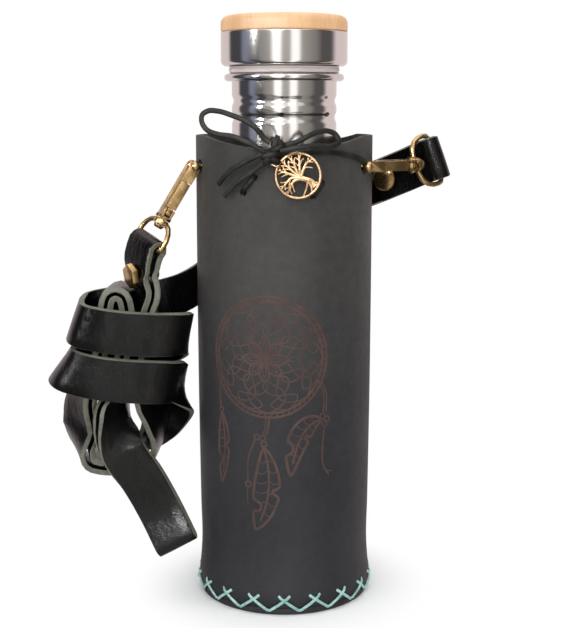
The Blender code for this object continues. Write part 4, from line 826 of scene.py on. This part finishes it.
def rounded(node, width, segments=2, angle=55):
    source = frame["nodes"][node]
    shape = bmesh.new()
    shape.from_mesh(source.data)
    bmesh.ops.remove_doubles(shape, verts=shape.verts[:], dist=0.000004)
    bmesh.ops.dissolve_limit(shape, angle_limit=math.radians(1.5), verts=shape.verts[:], edges=shape.edges[:])
    sharp = [edge for edge in shape.edges if len(edge.link_faces) == 2
             and edge.calc_face_angle(0) > math.radians(angle) and edge.calc_length() > width]
    if sharp:
        bmesh.ops.bevel(shape, geom=sharp, offset=width, segments=segments, profile=0.5, affect="EDGES",
                        clamp_overlap=True, material=-1)
    finish(pieceName(node), shape, ["antiqueBrass"], source["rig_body"], [node], smooth=48)


def addMetal():
    for side in ("left", "right"):
        for kind, width in metalPlan["paired"].items():
            rounded(kind + "_" + side, width)
    rounded("hex_screw", metalPlan["screw"], 3, 40)
    for node, width in metalPlan["single"].items():
        rounded(node, width)


addMetal()
print("metal made")


# Strap, as stations along one unbroken run: a point, the way of its width and the normal of its face.
# Each row of the four stretches is x, y, z in millimetres from the hank's middle, then the width's way.
# doubled: from the bight of the tail up through the hank, over its top and down the left leg.
# limbs: the middle between the two limbs below the left ring.
# loop: from the long limb down through the hank, round the right loop and under to the left corner.
# wrap: from the left corner behind the hank, twice round it and off to the case.
# The bars are the rings' bars that the strap is folded round: their middle and their way.
# back: how far from the middle it passes behind the case, from which angle and how far round, its height
# there and its rise. apart is the room between two layers, slack the room round a bar, step the spacing of
# the stations, cut the gap between two pieces and rightLimb how far the right fold runs doubled.
strapPlan = {
    "width": 0.020, "thick": 0.003, "apart": 0.001, "barRadius": 0.0012, "slack": 0.0004, "step": 0.0022,
    "cut": 0.0003, "rightLimb": 0.031, "hank": (-0.070, -0.016, 0.118),
    "back": (0.0439, 230, -90, 0.150, 0.036),
    "leftBar": ((-0.062101, -0.014374, 0.168021), (-0.557858, 0.794797, 0.238939)),
    "rightBar": ((0.070221, 0.006608, 0.205877), (-0.330182, 0.080044, 0.940517)),
    "doubled": (
        (20.1, -17.5, -84.7, 0.88, 0.0, 0.475), (13, -13.2, -71.5, 0.88, 0.0, 0.475),
        (4.5, -13, -55.7, 0.87, 0.05, 0.48), (-3.8, -14, -43, 0.82, 0.25, 0.5),
        (-7.6, -9.8, -32.5, 0.5, 0.84, 0.22), (-7.2, 0, -21.5, 0.03, 1, 0), (-5.5, 0, -11, 0, 1, 0),
        (-2, 0, 10, 0, 1, 0), (-1.2, 0, 23, 0, 1, 0), (-2.6, 0, 27.3, 0, 1, 0), (-5.8, 0, 28.8, 0, 1, 0),
        (-9, 0, 27.3, 0, 1, 0), (-10.4, 0, 23, 0, 1, 0), (-13.5, 0, 6, -0.08, 1, 0),
        (-18.5, 0, -12, -0.28, 0.96, 0), (-24, -1, -23, -0.58, 0.81, 0), (-24.5, 0.5, -35, -0.72, 0.69, 0),
        (-24, 2.5, -45.5, -0.35, 0.93, 0.1), (-20.5, 3, -51.7, -0.1, 0.99, 0), (-14.5, 3, -53.4, 0, 1, 0)),
    "limbs": (
        (5.6, 0.2, 42.5, -0.558, 0.795, 0.239), (5.8, 0, 37, -0.55, 0.8, 0.23),
        (9, -0.2, 29.5, -0.25, 0.96, 0.05), (8.5, 0, 20, 0, 1, 0), (8.4, 0, 9, 0, 1, 0)),
    "loop": (
        (5.6, 0, -3, 0.1, 0.99, 0), (5.4, 0, -10, 0.35, 0.93, 0), (6.6, -0.5, -18, 0.5, 0.86, 0),
        (8.2, -0.5, -24, 0.55, 0.83, 0), (10.4, 1, -31, 0.42, 0.9, 0), (11, 3, -39, 0.2, 0.98, 0),
        (9.9, 3, -46.5, 0.05, 1, 0), (6.2, 3, -53, 0, 1, 0), (0, 3, -55.4, 0, 1, 0), (-8, 3, -55.7, 0, 1, 0)),
    "wrap": (
        (-10, 4.6, -49.9, 0.1, -0.99, 0.05), (-4.6, 7.6, -48.2, 0.3, -0.9, 0.3),
        (1, 12, -45.2, 0.2, -0.7, 0.65), (6, 16.5, -42, -0.15, -0.2, 0.97),
        (11.5, 17, -37, -0.35, 0, 0.93), (17, 15.8, -30, -0.5, 0, 0.85),
        (21.3, 10.5, -22, -0.2, 0, 0.97), (21, 0, -14, 0.25, 0, 0.97), (17.5, -10, -11.9, 0.2, 0, 0.98),
        (10, -13.7, -11, 0.1, 0, 1), (-3, -14.4, -10.2, 0.1, 0, 1), (-19, -13.7, -8.2, 0.3, 0, 0.95),
        (-29, -9.5, -6.2, 0.5, 0, 0.86), (-32.3, 0, -5.2, 0.6, 0, 0.8), (-28.5, 9, -4.5, 0.5, 0, 0.87),
        (-18, 13, -3.7, 0.3, 0, 0.95), (-2, 13.4, -2.5, 0.1, 0, 1), (13, 13.2, 1, 0.05, 0, 1),
        (22, 9, 6.3, 0, 0, 1), (25.2, 0, 9, 0.2, 0, 0.98), (21.7, -9.5, 10.3, 0.2, 0, 0.98),
        (13, -13.3, 10.7, 0.12, 0, 0.99), (0, -13.8, 11.4, 0.1, 0, 1), (-14, -13, 13, 0.2, 0, 0.98),
        (-22.6, -9.2, 14.3, 0.33, 0, 0.94), (-25.7, 0, 15.6, 0.34, 0, 0.94), (-22.8, 9.2, 17, 0.3, 0, 0.95),
        (-13, 13.6, 18.3, 0.15, 0, 0.99), (2, 15.5, 19.8, 0.05, 0, 1), (14, 18.8, 22, 0, 0, 1))}
strapWidth, strapThick = strapPlan["width"], strapPlan["thick"]
halfSpacing = (strapThick + strapPlan["apart"]) / 2
foldRadius = strapPlan["barRadius"] + strapPlan["slack"] + strapThick / 2


def hankKeys(stretch, turnedOver=1):
    middle = Vector(strapPlan["hank"])
    return [(middle + Vector(row[:3]) / 1000, Vector(row[3:]) * turnedOver) for row in strapPlan[stretch]]


def framed(line):
    stations = []
    for index, (point, width) in enumerate(line):
        travel = (line[min(index + 1, len(line) - 1)][0] - line[max(index - 1, 0)][0]).normalized()
        width = (width - travel * width.dot(travel)).normalized()
        stations.append((point, width, travel.cross(width)))
    return stations


def smoothFrames(keys):
    points = [key[0] for key in keys]
    spans, slopes = slopesOf(points)
    line, places = [], []
    for index, span in enumerate(spans):
        pieces = max(1, round(span / strapPlan["step"]))
        places.append(len(line))
        for piece in range(pieces):
            t = piece / pieces
            line.append((hermite(points[index], points[index + 1], slopes[index] * span,
                                 slopes[index + 1] * span, t), keys[index][1].lerp(keys[index + 1][1], t)))
    places.append(len(line))
    line.append(keys[-1][:2])
    return framed(line), places


def backward(stations):
    return [(point, width, -normal) for point, width, normal in reversed(stations)]


def shifted(stations, offsets):
    return [(point + normal * offset, width, normal)
            for (point, width, normal), offset in zip(stations, offsets)]


def layerOffsets(stations):
    # Two layers lie farther apart where they twist together.
    shares = []
    for index in range(len(stations)):
        before, after = stations[max(index - 1, 0)], stations[min(index + 1, len(stations) - 1)]
        twist = before[1].angle(after[1]) / (after[0] - before[0]).length * strapWidth / 2
        shares.append(math.sqrt(1 + twist * twist))
    return [halfSpacing * max(shares[max(index - 2, 0):index + 3]) for index in range(len(shares))]


def halfTurn(middle, width, start, out, radius, steps=14):
    stations = []
    for step in range(1, steps):
        turn = math.pi * step / steps
        travel = out * math.cos(turn) - start * math.sin(turn)
        stations.append((middle + start * (radius * math.cos(turn)) + out * (radius * math.sin(turn)),
                         width, travel.cross(width)))
    return stations


def limbPair(keys, toward):
    middle, _ = smoothFrames(keys)
    side = 1 if middle[0][2].dot(toward) > 0 else -1
    offsets = []
    for station, offset in zip(middle, layerOffsets(middle)):
        part = min(1, (station[0] - middle[0][0]).length / strapWidth)
        offsets.append(offset + (foldRadius - halfSpacing) * (1 - part) ** 2)
    return (shifted(middle, [side * offset for offset in offsets]),
            shifted(middle, [-side * offset for offset in offsets]))


def bridge(before, keys, after):
    ends = [station[:2] for station in before[-2:]] + list(keys) + [station[:2] for station in after[:2]]
    stations, places = smoothFrames(ends)
    first = places[1] + 1
    return stations[first:places[-2]], [place - first for place in places[2:2 + len(keys)]]


def wholeStrap():
    bar, width = (Vector(value) for value in strapPlan["leftBar"])
    limbs = hankKeys("limbs")
    down = limbs[0][0] - bar
    down = (down - width * down.dot(width)).normalized()
    toward = width.cross(down)
    long, short = limbPair([(bar, width), (bar + down * strapThick, width)] + limbs, toward)
    fold = halfTurn(bar, width, -toward, -down, foldRadius)
    doubled, _ = smoothFrames(hankKeys("doubled"))
    offsets = layerOffsets(doubled)
    outer, inner = shifted(doubled, [-offset for offset in offsets]), shifted(doubled, offsets)
    point, width, normal = doubled[0]
    bight = halfTurn(point, width, -normal, -width.cross(normal), halfSpacing, 10)
    loop, _ = bridge(long, hankKeys("loop"), backward(outer))
    strap = backward(short) + fold + long + loop + backward(outer) + bight + inner

    back = []
    away, start, turn, low, rise = strapPlan["back"]
    for step in range(8):
        angle = math.radians(start + turn * step / 7)
        back.append((around(angle, away, low + rise * step / 7), Vector((0, 0, -1))))
    bar, width = (Vector(value) for value in strapPlan["rightBar"])
    width = -width
    target = back[-1][0]
    toward = (target - bar).cross(width).normalized()
    if toward.y < 0:
        toward = -toward
    inward = target - toward * halfSpacing - bar
    far = bar + inward.normalized() * strapPlan["rightLimb"]
    inward = (inward - width * inward.dot(width)).normalized()
    main, short = limbPair([(bar, width), (bar + inward * strapThick, width), ((bar + far) / 2, width),
                            (far, width.lerp(Vector((0, 0, -1)), 0.5))], toward)
    wrap = hankKeys("wrap", -1)
    run, places = bridge(inner, wrap + back, backward(main))
    leftEnd, backEnd = len(strap) + places[len(wrap) - 1], len(strap) + places[-1]
    strap += run + backward(main) + halfTurn(bar, width, toward, -inward, foldRadius) + short
    return strap, leftEnd, backEnd


def strapSection(point, width, normal):
    # Flat faces with a slight crown, turned edges.
    half, thick = strapWidth / 2, strapThick / 2
    outline = [(-half + 0.0007, thick - 0.00008), (-half / 2, thick), (0, thick + 0.00004), (half / 2, thick),
               (half - 0.0007, thick - 0.00008), (half - 0.00022, thick - 0.00034), (half, thick * 0.4)]
    outline += [(-x, -y) for x, y in outline]
    return [point + width * x + normal * y for x, y in outline]


def addStrap():
    # The stretch behind the case runs from the case to each hook, and the right one on to its ring; these
    # pieces get no body of their own, and their placement is baked in.
    stations, leftEnd, backEnd = wholeStrap()
    middle, last = (leftEnd + backEnd) // 2, len(stations) - 1
    pieces = (("strapHank", 0, leftEnd, "strap_left", "left_strap", None, ()),
              ("strapBackLeft", leftEnd, middle, "strap_back", "case", "left_hook",
               (middle - 1, leftEnd + 3)),
              ("strapBackRight", middle, backEnd, "strap_back", "case", "right_hook",
               (middle + 1, backEnd - 3)),
              ("strapRight", backEnd, last, "strap_right", "right_hook", "right_strap",
               (backEnd + 1, backEnd + 4)))
    for name, first, final, node, body, other, bend in pieces:
        piece = list(stations[first:final + 1])
        for end, way, place in ((0, 1, first), (-1, -1, final)):
            if place in (leftEnd, backEnd):  # half the gap short of its neighbour
                point, width, normal = piece[end]
                piece[end] = (point + width.cross(normal) * (way * strapPlan["cut"] / 2), width, normal)
        shape = bmesh.new()
        addRings(shape, [strapSection(*station) for station in piece], sides={5, 6, 12, 13})
        for face in shape.faces:
            if len(face.verts) > 4:  # the cut ends show the strap's raw edge
                face.material_index = 1
        made = finish(name, shape, ["strapLeather", "strapEdge"], None if other else body,
                      [node], smooth=35)
        if other:
            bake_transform(made)


addStrap()
print("strap made")


# Lace: each stretch's route in millimetres, and the stitches through the holes as rows of the share
# of the way from hole to hole and how far the lace stands over the leather, in metres
lacePlan = {
    "width": 0.0023, "thick": 0.0013, "squared": 0.75, "cordFrom": 0.032,
    "stitch": ((0, -0.0024), (0, -0.0006), (0.16, 0.001), (0.5, 0.00125), (0.84, 0.001), (1, -0.0006),
               (1, -0.0024)),
    "routes": {
        "lace_loop_left": (
            (-6, -45.2, 214.6), (-7.8, -45, 215.9), (-11.5, -45.6, 220.5), (-16.3, -44.7, 223.8),
            (-22.3, -43, 226.2), (-28.3, -40, 227.9), (-32.7, -38, 227.9), (-35.2, -37.2, 226.2),
            (-35.4, -37.2, 223.6), (-33.7, -38.2, 220.5), (-28.4, -41.2, 218.2), (-22.3, -43.7, 217.4),
            (-15.8, -45.8, 215), (-10.3, -45.9, 212), (-8, -45.6, 210.8)),
        "lace_loop_right": (
            (-2, -44.2, 213.2), (1, -44, 213.8), (5.5, -43.6, 215), (10.2, -43.4, 217.4),
            (14.3, -42, 219.1), (18.6, -40, 219.5), (22.1, -38.9, 218), (23.6, -39.8, 215),
            (21.5, -42.5, 213.5), (13.8, -46.2, 213.3), (7, -48.2, 213), (1.2, -48, 211.8),
            (-1.5, -47, 211.2)),
        "lace_run_right": (
            (-3, -41.9, 209.4), (1.2, -41.4, 209.6), (6, -41.1, 209.9), (14.3, -39, 210.8),
            (21.8, -35.4, 210.4), (28, -30.8, 209), (32.2, -26.6, 208), (35.2, -22.9, 206.2),
            (35.8, -20, 204.2)),
        "lace_tail_a": (
            (-7.2, -44.8, 210.4), (-10, -44.6, 209.6), (-17.2, -41.6, 206.1), (-23.8, -37, 202),
            (-28.8, -32.9, 196.4)),
        "lace_tail_b": (
            (-7.2, -44.4, 207.6), (-9, -44.2, 205.8), (-12.5, -42.6, 203), (-17.5, -40.6, 199.5),
            (-22, -37.9, 195.8), (-26.1, -35, 191.2))}}

# The knot: two lumps (shift from the middle, half sizes) and bands of lace wrapped over them (lean in
# degrees, reach along, reach out, shift)
knotPlan = {
    "middle": (-0.005, -0.0437, 0.2117), "bandWidth": 0.0024, "bandThick": 0.0011,
    "lumps": (((0.0022, 0, 0.0022), (0.0029, 0.0021, 0.0027)),
              ((-0.0008, 0, -0.0027), (0.0035, 0.0021, 0.0032))),
    "bands": ((72, 0.0034, 0.0028, (0.0012, 0, 0.0024)), (-28, 0.0033, 0.0025, (0.0024, 0.0002, 0.0032)),
              (20, 0.0035, 0.0026, (0.0020, 0, 0.0006)), (12, 0.0042, 0.0028, (-0.0008, 0, -0.0022)),
              (58, 0.0036, 0.0026, (-0.0016, 0.0002, -0.0032)),
              (-34, 0.0036, 0.0024, (0.0002, 0.0004, -0.0036)))}


def frontNormal(point):
    return (outward(point) + Vector((0, -0.8, 0.25))).normalized()


def finishLace(node, shape):
    return finish(pieceName(node), shape, ["laceLeather"], "case", [node], smooth=60)


def addLace():
    width, thick, squared = lacePlan["width"], lacePlan["thick"], lacePlan["squared"]
    for node, route in lacePlan["routes"].items():
        points = smoothRun([Vector(point) / 1000 for point in route], 0.0008)
        shape = bmesh.new()
        addTube(shape, points, width, thick, frontNormal, 14, squared=squared)
        made = finishLace(node, shape)
        length = sum((after - before).length for before, after in zip(points, points[1:]))
        length > lacePlan["cordFrom"]

    holes = casePlan["holes"]
    for node, ends in (("lace_stitch_left", holes[:2]), ("lace_stitch_right", holes[2:4])):
        (first, low, _), (second, high, _) = ends
        route = []
        for part, rise in lacePlan["stitch"]:
            height = low + (high - low) * part
            turn = math.radians(first + (second - first) * part)
            route.append(around(turn, caseSurface(height) + rise, height))
        shape = bmesh.new()
        addTube(shape, smoothRun(route, 0.0006), width * 0.9, thick, outward, 14, squared=squared)
        finishLace(node, shape)


def addKnot():
    middle = Vector(knotPlan["middle"])
    shape = bmesh.new()
    for shift, size in knotPlan["lumps"]:
        for vert in bmesh.ops.create_icosphere(shape, subdivisions=3, radius=1)["verts"]:
            vert.co = middle + Vector(shift) + vert.co * Vector(size)
    for lean, reach, rise, shift in knotPlan["bands"]:
        lean, center = math.radians(lean), middle + Vector(shift)
        along = Vector((math.cos(lean), 0, math.sin(lean)))
        points = loopPoints(center, along * reach, Vector((0, -rise, 0)), 36)
        addTube(shape, points, knotPlan["bandWidth"], knotPlan["bandThick"],
                lambda point: (point - center).normalized(), 14, closed=True, squared=lacePlan["squared"])
    finishLace("lace_knot", shape)


addLace()
addKnot()
print("lace made")


# Charm: an openwork tree in a ring. Its roots and limbs are drawn across and up in shares of its radius, then
# turned. Roots: points, width at each end, depth. Limbs: bend, middle and tip. Twigs: the side of the limb,
# where they start, as shares from the bend to past the middle, and their length.
charmPlan = {
    "middle": (0.006, -0.0437, 0.2007), "radius": 0.010, "thick": 0.0014, "ringWidth": 0.0011, "turn": 36,
    "roots": (([(0.33, -0.80), (0.30, -0.55), (0.16, -0.30), (-0.02, -0.10)], 0.24, 0.17, 0.95),
              ([(0.52, -0.78), (0.36, -0.60), (0.26, -0.42)], 0.10, 0.12, 0.8),
              ([(0.05, -0.94), (0.18, -0.70), (0.20, -0.42)], 0.08, 0.12, 0.8),
              ([(-0.36, -0.86), (-0.05, -0.66), (0.17, -0.46)], 0.06, 0.11, 0.75)),
    "limbStart": (0.02, -0.14),
    "limbs": (((-0.30, 0.08), (-0.66, 0.02), (-0.93, -0.04)), ((-0.22, 0.22), (-0.42, 0.50), (-0.60, 0.74)),
              ((-0.08, 0.30), (-0.16, 0.62), (-0.22, 0.94)), ((0.08, 0.26), (0.16, 0.56), (0.12, 0.95)),
              ((0.22, 0.18), (0.42, 0.48), (0.56, 0.78)), ((0.26, 0.02), (0.62, 0.22), (0.92, 0.22)),
              ((-0.34, -0.10), (-0.60, -0.24), (-0.86, -0.40))),
    "twigs": ((1, 0.25, 0.36), (-1, 0.5, 0.34), (1, 0.95, 0.26), (-1, 1.15, 0.22)), "twigLean": 40,
    "twigReach": 0.92, "jumpWay": (-0.92, 0, 0.39), "jumpWire": 0.0008, "jumpSize": (0.0013, 0.0022)}


def addCharm():
    middle, radius, thick = Vector(charmPlan["middle"]), charmPlan["radius"], charmPlan["thick"]
    facing = Vector((0, 1, 0))
    spin = Matrix.Rotation(math.radians(charmPlan["turn"]), 2)
    shape = bmesh.new()

    def addTwig(points, start, end, depth):
        turned = [spin @ Vector(point) * radius for point in points]
        wide = start * radius * 1.2
        run = smoothRun([middle + Vector((x, 0, z)) for x, z in turned], 0.0005)
        addTube(shape, run, wide, min(depth * thick, wide * 1.6 + 0.0003), lambda point: facing, 8,
                taper=1 - end / start, squared=0.85)

    rim = loopPoints(middle, Vector((radius - 0.0005, 0, 0)), Vector((0, 0, radius - 0.0005)), 96)
    addTube(shape, rim, charmPlan["ringWidth"], thick, lambda point: facing, 10, closed=True, squared=0.8)
    for row in charmPlan["roots"]:
        addTwig(*row)
    for number, (bend, mid, tip) in enumerate(charmPlan["limbs"]):
        addTwig([charmPlan["limbStart"], bend, mid, tip], 0.13, 0.05, 0.9 - 0.02 * number)
        bend, mid, tip = Vector(bend), Vector(mid), Vector(tip)
        way = (tip - mid).normalized()
        for hand, share, reach in charmPlan["twigs"]:
            base = bend.lerp(mid, share) if share <= 1 else mid.lerp(tip, share - 0.9)
            end = base + Matrix.Rotation(math.radians(charmPlan["twigLean"]) * hand, 2) @ way * reach
            if end.length > charmPlan["twigReach"]:
                end *= charmPlan["twigReach"] / end.length
            addTwig([base, (base + end) / 2 + way * 0.03, end], 0.07, 0.045, 0.62)
    finish("treeCharm", shape, ["antiqueCopper"], "charm", ["charm_disc"], smooth=45)

    away, wire = Vector(charmPlan["jumpWay"]).normalized(), charmPlan["jumpWire"]
    deep, wide = charmPlan["jumpSize"]
    points = loopPoints(middle + away * (radius + 0.0005), facing * deep, away * wide, 48)
    shape = bmesh.new()
    addTube(shape, points, wire, wire, lambda point: away.cross(facing), 10, closed=True)
    finish("charmJumpRing", shape, ["antiqueCopper"], "charm", ["charm_ring"])


addCharm()
print("charm made")
